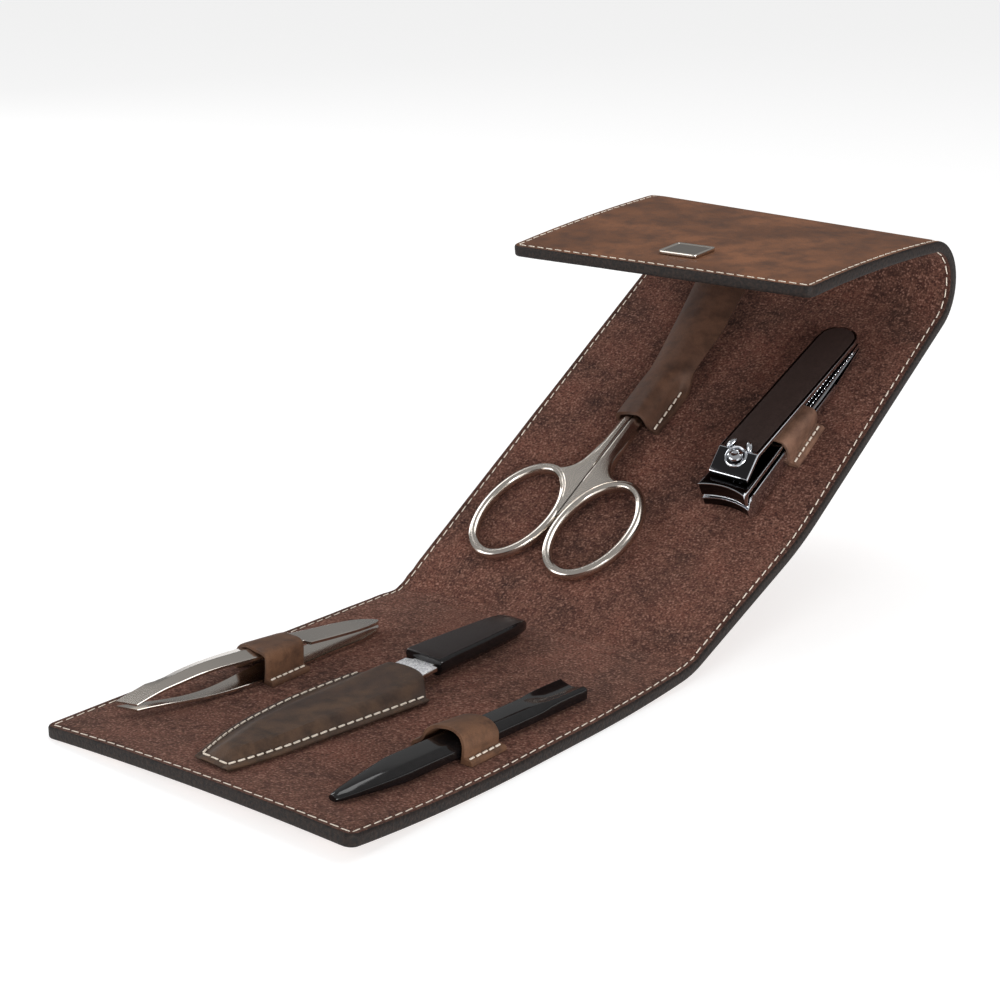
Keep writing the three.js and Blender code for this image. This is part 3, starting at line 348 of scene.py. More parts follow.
def loft(sections, bm=None):
    """A closed solid: one end face, drawn out from section to section."""
    bm = bm or bmesh.new()
    cap = bm.faces.new([bm.verts.new(point) for point in sections[0]])
    for section in sections[1:]:
        cap = bmesh.ops.extrude_discrete_faces(bm, faces=[cap])["faces"][0]
        for vert, point in zip(cap.verts, section):
            vert.co = point
    bmesh.ops.holes_fill(bm, edges=[edge for edge in bm.edges if edge.is_boundary])
    return bm


def bevel(bm, edges, offset, segments=1, **settings):
    bmesh.ops.bevel(bm, geom=edges, offset=offset, offset_type="OFFSET", segments=segments, profile=0.5,
        affect="EDGES", material=-1, **settings)


def round_off(bm, offset, steeper_than=30, only=None):
    """Bevels the edges that turn by more than an angle."""
    bmesh.ops.recalc_face_normals(bm, faces=bm.faces)
    edges = [edge for edge in bm.edges if len(edge.link_faces) == 2
        and edge.calc_face_angle(0) > math.radians(steeper_than) and (only is None or only(edge))]
    bevel(bm, edges, offset, 2, clamp_overlap=True)


def spun(bm, verts, edges, steps):
    """Turns an outline once round the Z axis."""
    bmesh.ops.spin(bm, geom=verts + edges, cent=(0, 0, 0), axis=(0, 0, 1), angle=2 * math.pi, steps=steps,
        use_merge=True)


def block(bm, centre, size, heading=0.0):
    """A block about its centre, turned in plan."""
    turn = Matrix.Translation(centre) @ Matrix.Rotation(heading, 4, "Z")
    bmesh.ops.create_cube(bm, size=1, matrix=turn @ Matrix.Diagonal((*size, 1)))


def marks(start, end, longest, fine=()):
    """Places from start to end, close together within the fine ranges (from, to, step)."""
    near = 1e-6
    shortest = 0.05
    places = [start]
    while places[-1] < end - near:
        here = places[-1]
        step = min([longest] + [size for low, high, size in fine if low - near <= here < high - near])
        stops = [low for low, high, size in fine if here + near < low < here + step]
        places.append(min([here + step, end] + stops))
    if len(places) > 2 and end - places[-2] < shortest:
        places.pop(-2)
    return places


def grid(columns, rows):
    """A flat sheet of quads with its lines at these places."""
    bm = bmesh.new()
    bmesh.ops.create_grid(bm, x_segments=len(columns) - 1, y_segments=len(rows) - 1, size=1)
    for vert in bm.verts:
        column = round((vert.co.x + 1) / 2 * (len(columns) - 1))
        row = round((vert.co.y + 1) / 2 * (len(rows) - 1))
        vert.co = (columns[column], rows[row], 0)
    return bm


def curve_through(points, steps):
    """More points on a smooth curve through these."""
    out = []
    padded = [points[0], *points, points[-1]]
    for i in range(1, len(padded) - 2):
        a, b, c, d = [Vector(p) for p in padded[i - 1:i + 3]]
        for step in range(steps):
            t = step / steps
            out.append(0.5 * ((2 * b) + (c - a) * t + (2 * a - 5 * b + 4 * c - d) * t * t
                + (3 * b - a - 3 * c + d) * t ** 3))
    out.append(Vector(points[-1]))
    return out


def run_at(knots, at, beyond=False):
    """A value on straight lines between (place, value) knots, which may run on beyond the ends."""
    for (y0, v0), (y1, v1) in zip(knots, knots[1:]):
        if at <= y1 or (y1, v1) == knots[-1]:
            share = (at - y0) / (y1 - y0)
            return mix(v0, v1, share if beyond else clamp(share))


def on_knots(knots, at):
    """A value on a smooth line through (place, value) knots."""
    for k in range(len(knots) - 1):
        (y0, v0), (y1, v1) = knots[k], knots[k + 1]
        if at <= y1 or k == len(knots) - 2:
            before = knots[max(k - 1, 0)]
            after = knots[min(k + 2, len(knots) - 1)]
            m0 = (v1 - before[1]) / (y1 - before[0]) * (y1 - y0)
            m1 = (after[1] - v0) / (after[0] - y0) * (y1 - y0)
            t = clamp((at - y0) / (y1 - y0))
            return ((2 * t ** 3 - 3 * t * t + 1) * v0 + (t ** 3 - 2 * t * t + t) * m0
                + (3 * t * t - 2 * t ** 3) * v1 + (t ** 3 - t * t) * m1)


# The strip's layers, and the stitches round its edge

EDGE_FINE = (0, 0.12, 0.35, 0.7, 1.05, 1.5, 2.1, 3.2)
edge_round = 0.8
painted_edge = 0.36
burnish_width = 3
groove_depth = 0.22
groove_width = 0.75
quad_length = 3.4
coarse_from = 5.0
FINE_BENDS = ((100, 122, 0.9), (236, 266, 1.1))
stitch_margin = 1.5
stitch_pitch = 2.9
stitch_length = 2.1
stitch_slant = 4
thread_width = 0.3
thick_thread = 0.44
SEAM_BREAKS = (60, 107, 115, 150, 238, 250, 263, 290)


def rounded_corner(across, along):
    """Bends the strip's square end corners to their radius."""
    side = min(across, case_width - across)
    for end, outward in ((0.0, 1), (strip_end, -1)):
        reach = (along - end) * outward
        if side < corner_radius and reach < corner_radius:
            u, v = 1 - side / corner_radius, 1 - reach / corner_radius
            if u > 0 and v > 0:
                grow = max(u, v) / math.hypot(u, v)
                new_side = corner_radius * (1 - u * grow)
                across = new_side if across < case_width / 2 else case_width - new_side
                along = end + outward * corner_radius * (1 - v * grow)
    return across, along


def edge_distance(across, along):
    """How far a place lies inside the strip's edge."""
    side = min(across, case_width - across)
    end = min(along, strip_end - along)
    if side < corner_radius and end < corner_radius:
        return corner_radius - math.hypot(corner_radius - side, corner_radius - end)
    return min(side, end)


def edge_drop(distance):
    """How far a face of the sewn strip lies below its level: rounded edge, then the stitch groove."""
    rounding = 0.0
    if distance < edge_round:
        rounding = edge_round - math.sqrt(max(0, edge_round ** 2 - (edge_round - distance) ** 2))
    groove = groove_depth * math.exp(-((distance - stitch_margin) / groove_width) ** 2)
    return rounding * 0.8 + groove


def lining_dent(across, along):
    """Soft hollows of the lining, and the creases that the folds have pressed into it."""
    soft = noise.noise(Vector((across / 17, along / 13, 3.1)))
    fine = noise.noise(Vector((across / 5, along / 5, 7.7)))
    crease = noise.noise(Vector((across / 13 + along / 30, along / 2.6, 1.9)))
    near_fold = math.exp(-((along - 112) / 9) ** 2)
    near_bend = math.exp(-((along - 252) / 12) ** 2)
    return (-0.06 - 0.06 * soft - 0.03 * fine - near_fold * (0.22 + 0.4 * crease)
        - near_bend * (0.1 + 0.25 * crease))


def strip_layer(name, low, high, start, end, skin, stands_for, blended):
    """One layer of the strip between two places along it, with painted edges."""
    last_edges = [-place for place in reversed(EDGE_FINE)]
    columns = [*EDGE_FINE, *marks(coarse_from, case_width - coarse_from, quad_length),
        *[case_width + place for place in last_edges]]
    rows = marks(start, end, quad_length, FINE_BENDS)
    first_row = 4.2
    if start == 0:
        rows = [*EDGE_FINE, *[row for row in rows if row > first_row]]
    if end == strip_end:
        rows = [*[row for row in rows if row < strip_end - first_row],
            *[strip_end + place for place in last_edges]]
    bm = grid(columns, rows)
    rim = bm.verts.layers.float.new("rim")
    copied = bmesh.ops.duplicate(bm, geom=bm.faces[:])["geom"]
    below = {item for item in copied if isinstance(item, bmesh.types.BMVert)}
    is_lining = high == 0
    for vert in bm.verts:
        vert.co.x, vert.co.y = rounded_corner(vert.co.x, vert.co.y)
        distance = edge_distance(vert.co.x, vert.co.y)
        vert[rim] = 1 - smooth((distance - edge_round / 2) / burnish_width)
        if vert in below:
            vert.co.z = low + (0 if is_lining else edge_drop(distance))
        else:
            vert.co.z = high - (edge_drop(distance) - lining_dent(vert.co.x, vert.co.y) if is_lining else 0)
    walls = bmesh.ops.bridge_loops(bm, edges=[edge for edge in bm.edges if edge.is_boundary])["faces"]
    for face in bm.faces:
        middle = face.calc_center_median()
        face.material_index = edge_distance(middle.x, middle.y) < painted_edge
    for face in walls:
        face.material_index = 1
    made(name, bm, [skin, waxed_edge], None, stands_for, on_strip, blended=blended)


# Where each fold bends the strip, in metres
fold_blend = ("front_panel", "back_panel", (0, 0.043, 0.003), (0, 0.052, 0.006))
bend_blend = ("back_panel", "flap", (0, 0.161, 0.065), (0, 0.153, 0.086))
leather_top = -lining_thickness - layer_gap

strip_layer("lining_front_to_back", -lining_thickness, 0, 0, split_along, suede,
    ("lining_front", "lining_fold"), fold_blend)
strip_layer("leather_front_to_back", -stack, leather_top, 0, split_along, hide,
    ("outer_front", "outer_fold", "board_front"), fold_blend)
strip_layer("lining_back_to_flap", -lining_thickness, 0, split_along, strip_end, suede,
    ("lining_back", "lining_bend", "lining_flap"), bend_blend)
strip_layer("leather_back_to_flap", -stack, leather_top, split_along, strip_end, hide,
    ("outer_back", "board_back", "outer_bend", "outer_flap", "board_flap"), bend_blend)


def stitches(bm, path, height, pitch=stitch_pitch, length=stitch_length, width=thread_width):
    """Thread showing between its holes along a path of (across, along) points."""
    for (x0, y0), (x1, y1) in zip(path, path[1:]):
        run = math.hypot(x1 - x0, y1 - y0)
        count = max(1, round(run / pitch))
        heading = math.atan2(y1 - y0, x1 - x0) + math.radians(stitch_slant)
        for item in range(count):
            share = (item + 0.5) / count
            x, y = mix(x0, x1, share), mix(y0, y1, share)
            z = height(x, y) if callable(height) else height
            block(bm, (x, y, z), (run / count * length / pitch, width, width * 0.8), heading)


def rounded_thread(bm):
    bevel(bm, bm.edges[:], thread_width * 0.3)
    return bm


def path_by_length(path, step):
    """The same path with its points about this far apart, so that each run holds one stitch."""
    lengths = [math.dist(a, b) for a, b in zip(path, path[1:])]
    count = max(1, round(sum(lengths) / step))
    out = []
    for k in range(count + 1):
        left = sum(lengths) * k / count
        for (a, b), length in zip(zip(path, path[1:]), lengths):
            if left <= length + 1e-6:
                out.append((mix(a[0], b[0], left / length), mix(a[1], b[1], left / length)))
                break
            left -= length
    return out


def seam(name, start, end, height, blended):
    """The row of stitches round the strip's edge, on one face and between two places along it."""
    margin = stitch_margin
    bm = bmesh.new()
    front = margin if start == 0 else start
    rear = strip_end - margin if end == strip_end else end
    breaks = [front, *[place for place in SEAM_BREAKS if front < place < rear], rear]
    for across in (margin, case_width - margin):
        stitches(bm, [(across, place) for place in breaks], height)
    for along, is_end in ((front, start == 0), (rear, end == strip_end)):
        if is_end:
            stitches(bm, [(margin, along), (case_width - margin, along)], height)
    made(name, rounded_thread(bm), [thread], None, (), on_strip, blended=blended)


def on_lining(across, along):
    return -0.2 + lining_dent(across, along)


seam("stitches_inside_front", 0, split_along, on_lining, fold_blend)
seam("stitches_inside_rear", split_along, strip_end, on_lining, bend_blend)
seam("stitches_outside_front", 0, split_along, -stack + 0.14, fold_blend)
seam("stitches_outside_rear", split_along, strip_end, -stack + 0.14, bend_blend)


# Where the tools lie: their widths, and the spaces between them

tweezers_width = 8.4
blade_width = 9.6
stick_width = 7.8
ring_width, ring_length = 23.2, 33.4
half_gap = 0.15
clipper_half_width = 6.5
tweezers_across = 10.4 + tweezers_width / 2
file_across = tweezers_across + (tweezers_width + blade_width) / 2 + 21.4
stick_across = file_across + (blade_width + stick_width) / 2 + 23.4
scissors_across = 7.5 + ring_width + half_gap
clipper_across = scissors_across + ring_width + half_gap + 9.3 + clipper_half_width
file_start = 8
scissors_start = 125.4
clipper_start = 159.0


# Straps, sheath and holster

def sewn_down(name, body, paths, pitch, length, proud=0.12):
    """Thick stitches along the paths, on a strap or pocket that is sewn to the lining."""
    bm = bmesh.new()
    for path in paths:
        stitches(bm, path_by_length(path, pitch), strap_thickness + glue_line + proud, pitch, length,
            thick_thread)
    made(name, rounded_thread(bm), [thread], body, (), on_strip)


def strap(name, node, start, length, front_line, rear_line, body, tab, skew=0, skin=strap_hide):
    """A leather loop over a tool: its outer line at both ends, and the tab that sews down its right foot."""
    t = strap_thickness
    front_foot, rear_foot = front_line[-1][0], rear_line[-1][0]
    seam_inset = 0.75
    seam_end = 0.4

    def ring(share, squash):
        outer = curve_through([(mix(a[0], b[0], share), mix(a[1], b[1], share), 0)
            for a, b in zip(front_line, rear_line)], 4)
        outside, inside = [], []
        for k, point in enumerate(outer):
            along = outer[min(k + 1, len(outer) - 1)] - outer[max(k - 1, 0)]
            normal = Vector((-along.y, along.x, 0)).normalized()
            outside.append(point - normal * squash)
            inside.append(point - normal * (t - squash))
        foot = outer[-1].x
        sole = [(foot + 0.25, t + 0.12), (foot + 0.9, t), (foot + tab - 0.3, t), (foot + tab, t * 0.6),
            (foot + tab, 0), (foot - t, 0)]
        high = [(p.x, max(0.0, p.y)) for p in outside]
        low = [(p.x, max(0.0, p.y)) for p in reversed(inside)]
        return high + sole + low

    sections = []
    for share, squash in ((0, 0.2), (0.03, 0.05), (0.1, 0), (0.3, 0), (0.5, 0), (0.7, 0), (0.9, 0),
            (0.97, 0.05), (1, 0.2)):
        at = start + length * share
        sections.append([Vector((x, at + skew * clamp((front_foot - x) / 12), z + glue_line))
            for x, z in ring(share, squash)])
    made(name, loft(sections), [skin], body, (node,), on_strip, 60)
    path = [(front_foot + seam_inset, start + seam_end), (rear_foot + seam_inset, start + length - seam_end)]
    sewn_down(name + "_stitches", body, [path], 2.0, 1.5)


strap("strap_over_tweezers", "tweezers_loop", 44.9, 12.0,
    [(8.0, 0), (8.1, 2.8), (9.3, 5.5), (12.6, 7.1), (17, 7.35), (20, 7.4), (21.4, 6.8), (21.8, 5.3),
        (21.6, 2.7), (21.4, 1.4)],
    [(9.1, 0), (9.2, 2.7), (10.4, 5.1), (13.4, 6.6), (17, 7.1), (19.4, 7.25), (21, 6.6), (21.3, 5.2),
        (21.2, 2.7), (21.1, 1.4)],
    "front_panel", 1.9, 2.8)
strap("strap_over_stick", "stick_loop", 40.9, 11.2,
    [(67.6, 0), (68.1, 1.4), (70.2, 2.7), (71.7, 4.9), (73.5, 6.3), (76, 7.1), (78.9, 7.3), (81.4, 6.2),
        (82.5, 4.0), (82.4, 1.4)],
    [(67.6, 0), (68.1, 1.3), (69.8, 2.6), (71.6, 4.2), (73.6, 5.3), (76.6, 6.0), (79, 6.0), (81.1, 5.2),
        (82.3, 3.6), (82.3, 1.4)],
    "front_panel", 1.9)
strap("strap_over_clipper", "clipper_loop", 180, 14,
    [(62.3, 0), (62.2, 5), (62.9, 8.0), (65, 8.85), (70, 8.9), (75, 8.85), (77.2, 8.1), (77.8, 5.8),
        (77.6, 2.9), (77.1, 1.4)],
    [(62.3, 0), (62.2, 4), (62.9, 6.6), (65, 7.4), (70, 7.45), (75, 7.4), (77.7, 6.9), (78.4, 5.2),
        (77.9, 2.8), (77.2, 1.4)],
    "back_panel", 1.8, 0, loop_hide)


def formed_pocket(name, node, body, bm, skin, rounding):
    """Gives a formed sheet of leather its thickness, inwards, and lays it on the strip."""
    bmesh.ops.recalc_face_normals(bm, faces=bm.faces)
    if sum(face.normal.z for face in bm.faces) < 0:
        bmesh.ops.reverse_faces(bm, faces=bm.faces)
    bmesh.ops.solidify(bm, geom=bm.faces[:] + bm.edges[:] + bm.verts[:], thickness=1.02)
    for vert in bm.verts:
        vert.co.z = max(vert.co.z, glue_line)
    round_off(bm, rounding, 50)
    made(name, bm, [skin], body, (node,), on_strip, 50)


# The file's blade: half widths at places along it
BLADE_RIGHT = ((2, 1.9), (4, 2.4), (10, 3.0), (20, 3.8), (32, 4.5), (42, 4.8), (62, 4.8))
BLADE_LEFT = ((2, -0.8), (6, 0.1), (11.5, 2.2), (15.6, 3.6), (20, 4.4), (26, 4.8), (62, 4.8))
blade_thickness = 1
handle_start = 62.0
handle_length = 33.8
handle_height = 4.6
blade_low = (handle_height - blade_thickness) / 2 - 1.1


def file_sheath():
    """The file's pocket: one leather sheet, formed over the blade and sewn down along both sides."""
    left_seam = [(p.x, p.y) for p in curve_through(
        [(41.3, 7.6, 0), (37.9, 15, 0), (35.2, 22.8, 0), (33.6, 31.7, 0), (32.7, 44.5, 0), (33.7, 61.5, 0)],
        5)]
    right_seam = [(p.x, p.y) for p in curve_through([(49.6, 6.6, 0), (51.3, 34, 0), (54.4, 60.5, 0)], 12)]
    left_knots, right_knots = ([(y, x) for x, y in line] for line in (left_seam, right_seam))
    left_margin, right_margin = 1.3, 1.9
    front, rear = 5.0, 60.0
    front_skew = 0.9
    mouth_reach = 6.6
    crown = blade_low + blade_thickness + strap_thickness + 0.5
    columns = [0, 0.008, 0.03, 0.06, 0.09, *[k / 26 for k in range(3, 24)], 0.9, 0.93, 0.95, 0.97, 0.992, 1]
    rows = [0, 0.006, 0.02, 0.035, *[k / 40 for k in range(2, 39)], 0.97, 0.99, 1]
    bm = grid(columns, rows)
    for vert in bm.verts:
        u, v = vert.co.x, vert.co.y
        y = mix(front + mix(front_skew, 0, u), rear, v)
        low = run_at(left_knots, y, True) - left_margin
        high = run_at(right_knots, y, True) + right_margin
        x = mix(low, high, u)
        dome = clamp(1 - abs(2 * u - 0.95) ** 2.1 * 1.1)
        along = y + mouth_reach * dome * smooth((v - 0.55) / 0.45)
        rim = min(x - low, high - x, y - front - mix(front_skew, 0, u))
        blade_left = file_across - run_at(BLADE_LEFT, along - file_start) - 0.5
        from_left = (x - low - 2.0) / max(1.0, blade_left - low - 2.0)
        blade_right = high - 2.6 - file_across - run_at(BLADE_RIGHT, along - file_start) - 0.5
        from_right = (high - 2.6 - x) / max(1.0, blade_right)
        rise = smooth(min(from_left, from_right)) * smooth((along - front - 1.4) / 4)
        height = mix(strap_thickness, crown + 0.35 * smooth((along - 46) / 18), rise)
        seam_line = min(abs(x - low - left_margin), abs(high - right_margin - x),
            abs(rim - 1.8) + 3 * (y > 9))
        height -= 0.2 * math.exp(-(seam_line / 0.55) ** 2)
        height += 0.12 * noise.noise(Vector((x / 5, along / 8, 4.4))) * rise
        height -= 0.35 * (1 - clamp(rim / 0.35)) ** 2
        vert.co = (x, along, height + glue_line)
    formed_pocket("sheath_over_file", "file_sheath", "front_panel", bm, pocket_hide, 0.15)
    tip_seam = [left_seam[0], right_seam[0]]
    sewn_down("sheath_stitches", "front_panel", [left_seam, tip_seam, right_seam], 2.5, 1.85, 0.02)


file_sheath()

# The holster's outer line across the case, at places from its mouth
HOLSTER_LINES = (
    (0, ((24.8, 0), (25.1, 1.9), (26.3, 3.7), (28.6, 4.9), (31.5, 5.7), (33.8, 6.0), (35.4, 4.7),
        (36.1, 2.1), (36.8, 1.15), (38.2, 1.05))),
    (14, ((24.4, 0), (24.8, 1.8), (26.2, 3.6), (28.4, 4.9), (31.3, 5.6), (33.8, 5.6), (35.6, 4.3),
        (36.3, 2.0), (37, 1.2), (38.7, 1.15))),
    (19, ((24.4, 0), (24.8, 1.7), (26.1, 3.4), (28.3, 4.6), (31.2, 5.2), (33.9, 5.2), (35.9, 4.7),
        (37, 4.1), (37.8, 3.6), (38.4, 3.2))),
    (34, ((21.9, 0), (22.3, 1.5), (23.7, 3.1), (26.2, 4.1), (29.5, 4.7), (32.5, 4.7), (35, 4.3),
        (36.5, 3.9), (37.4, 3.6), (38.1, 3.4))),
    (54, ((18.2, 0), (18.7, 1.3), (20, 2.7), (22.5, 3.6), (26, 4.1), (29, 4.1), (31.5, 3.8),
        (33.4, 3.4), (34.6, 3.1), (35.2, 2.9))))


def scissors_holster():
    """The scissors' holster: one supple sheet over shanks and blades, sewn down by its mouth."""
    start = 179.8
    mouth_slant = 1.4
    pasts = [0, 0.4, 1.2, 2.5, 4.5, 7, 9.5, 12, 14, 15, 16, 17.5, 19, 20.5, 22.5, 25.5, 29, 33, 37, 41, 45,
        49, 52, 53.6, 54]
    lines = []
    for past in pasts:
        outline = [[on_knots([(at, line[k][axis]) for at, line in HOLSTER_LINES], past) for axis in (0, 1)]
            for k in range(len(HOLSTER_LINES[0][1]))]
        lines.append(curve_through([(x, z, 0) for x, z in outline], 5))
    columns = list(range(len(lines[0])))
    bm = grid(columns, pasts)
    for vert in bm.verts:
        column, row = round(vert.co.x), min(range(len(pasts)), key=lambda k: abs(pasts[k] - vert.co.y))
        point = lines[row][column]
        past = pasts[row]
        wave = 0.12 * noise.noise(Vector((column / 5, past / 6, 2.2)))
        mouth = mouth_slant * (column / columns[-1] - 0.35) * (1 - smooth(past / 12))
        height = max(0, point.y + wave * min(1, point.y / 3)) + glue_line
        vert.co = (point.x, start + past - mouth, height)
    formed_pocket("holster_over_scissors", "scissors_holster", "back_panel", bm, holster_hide, 0.18)
    sewn_down("holster_stitches", "back_panel", [[(37.1, 179.3), (37.2, 193.9)]], 2.4, 1.8)


# Nail file

def nail_file():
    """A pointed blade, gritted on its face, in a faceted moulded handle."""
    place = lie_on((file_across, file_start, seat_gap), (file_across, 103, seat_gap))
    sections = []
    for y in [2, 3, 4, 6, 8, 10, 11.5, 13.5, 15.6, 18, 20, 23, 26, 32, 42, 50, 53, 56, 59, 62, 62.4, 74]:
        tang = 1.8 if y > handle_start else 0
        left, right = tang - run_at(BLADE_LEFT, y), run_at(BLADE_RIGHT, y) - tang
        low = blade_low + 0.9 * smooth((y - 48) / 14)
        high = low + blade_thickness
        corners = ((left, low), (right, low), (right, high), (left, high))
        sections.append([Vector((x, y, z)) for x, z in corners])
    bm = loft(sections)
    round_off(bm, 0.22, 40)
    for face in bm.faces:
        face.material_index = 0 if abs(face.normal.z) > 0.9 else 1
    made("file_blade_gritted", bm, [grit, nickel], "file", ("file_blade",), place, 30)
    sections = []
    for share, wide, tall in ((0, 0.96, 0.93), (0.02, 1, 0.99), (0.1, 1.01, 1), (0.5, 1.02, 1),
            (0.8, 0.98, 1), (0.93, 0.9, 0.95), (1, 0.74, 0.8)):
        w = mix(11.2, 8.4, share) * wide / 2
        top = handle_height * tall
        lean = 0.5 * clamp(1 - share / 0.1)
        y = handle_start + 0.6 + (handle_length - 0.6) * share
        ring = [(-w + 1.6, 0), (w - 1.6, 0), (w - 0.1, 1.7), (w, top - 0.7), (w - 0.5, top), (-w + 0.5, top),
            (-w, top - 0.7), (-w + 0.1, 1.7)]
        sections.append([Vector((x, y + lean * (1 - z / top), z)) for x, z in ring])
    bm = loft(sections)
    round_off(bm, 0.16, 25)
    for face in bm.faces:
        face.material_index = 0 if face.normal.z > 0.92 else 1
    made("file_handle_moulded", bm, [handle_black, gloss_black], "file", ("file_handle",), place, 22)


nail_file()

# Tweezers: outlines of the arms and heights of their tops, at places from the tip
NEAR_SIDE = ((0, -0.9), (0.6, -0.1), (2, 0.9), (5, 2.1), (10, 3.1), (18, 3.5), (30, 4.3), (42, 4.5),
    (50, 3.4), (57, 2.8), (62, 2.6), (66, 2.5), (69, 2.5), (72, 2.6))
FAR_SIDE = ((0, 1.0), (0.6, 1.7), (2, 2.4), (5, 3.2), (10, 3.8), (18, 4.1), (40, 4.2), (54, 4.0),
    (62, 3.3), (68, 2.8), (74, 2.6))
LOWER_FAR = ((0, 1.0), (0.6, 1.7), (2, 2.4), (5, 3.2), (10, 3.8), (18, 3.8), (30, 3.2), (41, 1.5),
    (48, -0.2), (54, -1.2), (60, -1.4), (65, -0.6), (69, 0.8), (74, 2.6))
LOWER_NEAR = ((0, -0.9), (0.6, -0.1), (2, 0.9), (5, 2.1), (10, 3.1), (18, 3.6), (30, 4.8), (42, 5.7),
    (50, 5.5), (57, 5.0), (62, 4.4), (66, 3.6), (69, 3.0), (72, 2.6))
UPPER_TOP = ((0, 2.2), (5, 3.0), (10, 3.5), (20, 4.2), (30, 5.2), (39, 5.9), (48, 6.1), (55, 5.9),
    (62, 5.2), (67, 4.4), (71, 3.65), (74, 3.05))
LOWER_TOP = ((0, 0.75), (10, 0.65), (40, 0.6), (50, 0.65), (56, 0.85), (62, 1.3), (67, 1.65), (74, 1.9))
ARM_SHARES = (0.0, 0.004, 0.012, 0.03, 0.05, 0.08, 0.12, 0.17, 0.22, 0.27, 0.32, 0.345, 0.355, 0.36, 0.385,
    0.395, 0.42, 0.46, 0.5, 0.54, 0.58, 0.62, 0.66, 0.7, 0.74, 0.78, 0.82, 0.86, 0.895, 0.905, 0.93, 0.955,
    0.98, 1.0)
arm_length = 74
near_length = 72
ridge_share = 0.44


def tweezers_arm(name, node, upper, body):
    """One sprung arm: a ridged strip of nickelled steel, bowed out and ground to a slanted tip."""
    lines = (FAR_SIDE, NEAR_SIDE, UPPER_TOP) if upper else (LOWER_FAR, LOWER_NEAR, LOWER_TOP)
    far_side, near_side, tops = lines
    sections = []
    for share in ARM_SHARES:
        far_y, near_y = arm_length * share, near_length * share
        far, near = on_knots(far_side, far_y), -on_knots(near_side, near_y)
        level = on_knots(tops, far_y)
        drop_far = drop_near = 0
        thick = mix(0.8, 0.5, smooth((share - 0.8) / 0.2))
        if upper:
            near += 1.9 * (smooth((share - 0.345) / 0.012) - smooth((share - 0.385) / 0.03))
            thick = mix(0.8, 0.38, smooth((share - 0.88) / 0.1))
            ridge = smooth((share - 0.36) / 0.08) * (1 - smooth((share - 0.84) / 0.05))
            drop_far, drop_near = 0.95 * ridge, 0.3 * ridge
        ring_top, ring_low = [], []
        for part in (0.0, 0.03, 0.07, 0.4, ridge_share, 0.48, 0.93, 0.97, 1.0):
            x, y = mix(far, near, part), mix(far_y, near_y, part)
            if part < ridge_share:
                z = level - drop_far * (ridge_share - part) / ridge_share
            else:
                z = level - drop_near * (part - ridge_share) / 0.56
            edge = 0.1 if part in (0.0, 1.0) else 0
            ring_top.append(Vector((x, y, z - edge)))
            ring_low.append(Vector((x, y, z - thick + edge)))
        sections.append(ring_top + ring_low[::-1])
    skew = 3.25
    place = lie_on((tweezers_across + skew, 86, seat_gap), (tweezers_across - skew, 12, seat_gap))
    made(name, loft(sections), [nickel], body, (node,), place, 25)


tweezers_arm("tweezers_arm_below", "tweezers_lower_arm", False, "tweezers")
tweezers_arm("tweezers_arm_above", "tweezers_upper_arm", True, "tweezers_upper")


# Cuticle stick

def cuticle_stick():
    """A glossy moulded bar with a chisel point and a hollow pressed into its squared rear end."""
    point_length = 17
    sections = []
    for y in [0, 2.5, 6, 10, 14, point_length, 24, 38, 52, 56, 59, 62, 65, 68, 71, 73.4, 74]:
        point = clamp(y / point_length)
        wide = mix(1.1, stick_width / 2, point ** 0.72)
        low = 0.9 * (1 - point)
        high = mix(2.3, mix(3.7, 3.3, clamp((y - point_length) / 57)), point ** 0.8)
        chamfer = min(1.4, (high - low) * 0.4)
        hollow = smooth((y - 58) / 6) * 0.95
        ridge = 0.35 * math.sin(math.pi * point) + 0.12
        top = high - (0.35 if y > 73.8 else 0)
        lip = wide - chamfer * mix(1, 0.45, hollow)
        shoulder = high - chamfer * mix(1, 0.5, hollow)
        slope_top = top + ridge * 0.5 * (1 - hollow) - hollow * 0.55
        ring = [(-wide + 0.45, low), (wide - 0.45, low), (wide, low + 0.4), (wide, shoulder), (lip, top),
            (lip * 0.62, slope_top), (0, top + ridge * (1 - hollow) - hollow * 1.0),
            (-lip * 0.62, slope_top), (-lip, top), (-wide, shoulder), (-wide, low + 0.4)]
        sections.append([Vector((x, y, z)) for x, z in ring])
    bm = loft(sections)
    round_off(bm, 0.2, 32)
    place = lie_on((stick_across - 0.8, 9, seat_gap - 0.9), (stick_across + 0.8, 83, seat_gap))
    made("cuticle_stick_moulded", bm, [gloss_black], "stick", ("cuticle_stick",), place, 26)


cuticle_stick()

# Scissors
scissors_place = lie_on((scissors_across, scissors_start, seat_gap),
    (scissors_across, scissors_start + 94, seat_gap), 0.03)
wire_height = 2.8
wire_width = 2.5
pivot_at = 60.6
web_near, web_far = 0.15, 3.65
web_leave = 100.0
neck_end, shank_end = 41.9, 55.4


def finger_ring(bm, cx, cy):
    """A wire of squared-off section, bent to an oval."""
    points = 20
    squareness = 2.7
    core = 10
    section = []
    for k in range(points):
        turn = 2 * math.pi * (k + 0.5) / points
        c, z = math.cos(turn), math.sin(turn)
        grow = (abs(c) ** squareness + abs(z) ** squareness) ** (-1 / squareness)
        section.append(bm.verts.new((core + c * grow * wire_width / 2, 0, (1 + z * grow) * wire_height / 2)))
    edges = [bm.edges.new((section[k], section[(k + 1) % points])) for k in range(points)]
    spun(bm, section, edges, 84)
    half_wide, half_long = ring_width / 2, ring_length / 2
    for vert in bm.verts:
        angle = math.atan2(vert.co.y, vert.co.x)
        out = Vector((math.cos(angle) * half_long, math.sin(angle) * half_wide)).normalized()
        rho = math.hypot(vert.co.x, vert.co.y) - core
        vert.co.x = cx + math.cos(angle) * (half_wide - wire_width / 2) + out.x * rho
        vert.co.y = cy + math.sin(angle) * (half_long - wire_width / 2) + out.y * rho


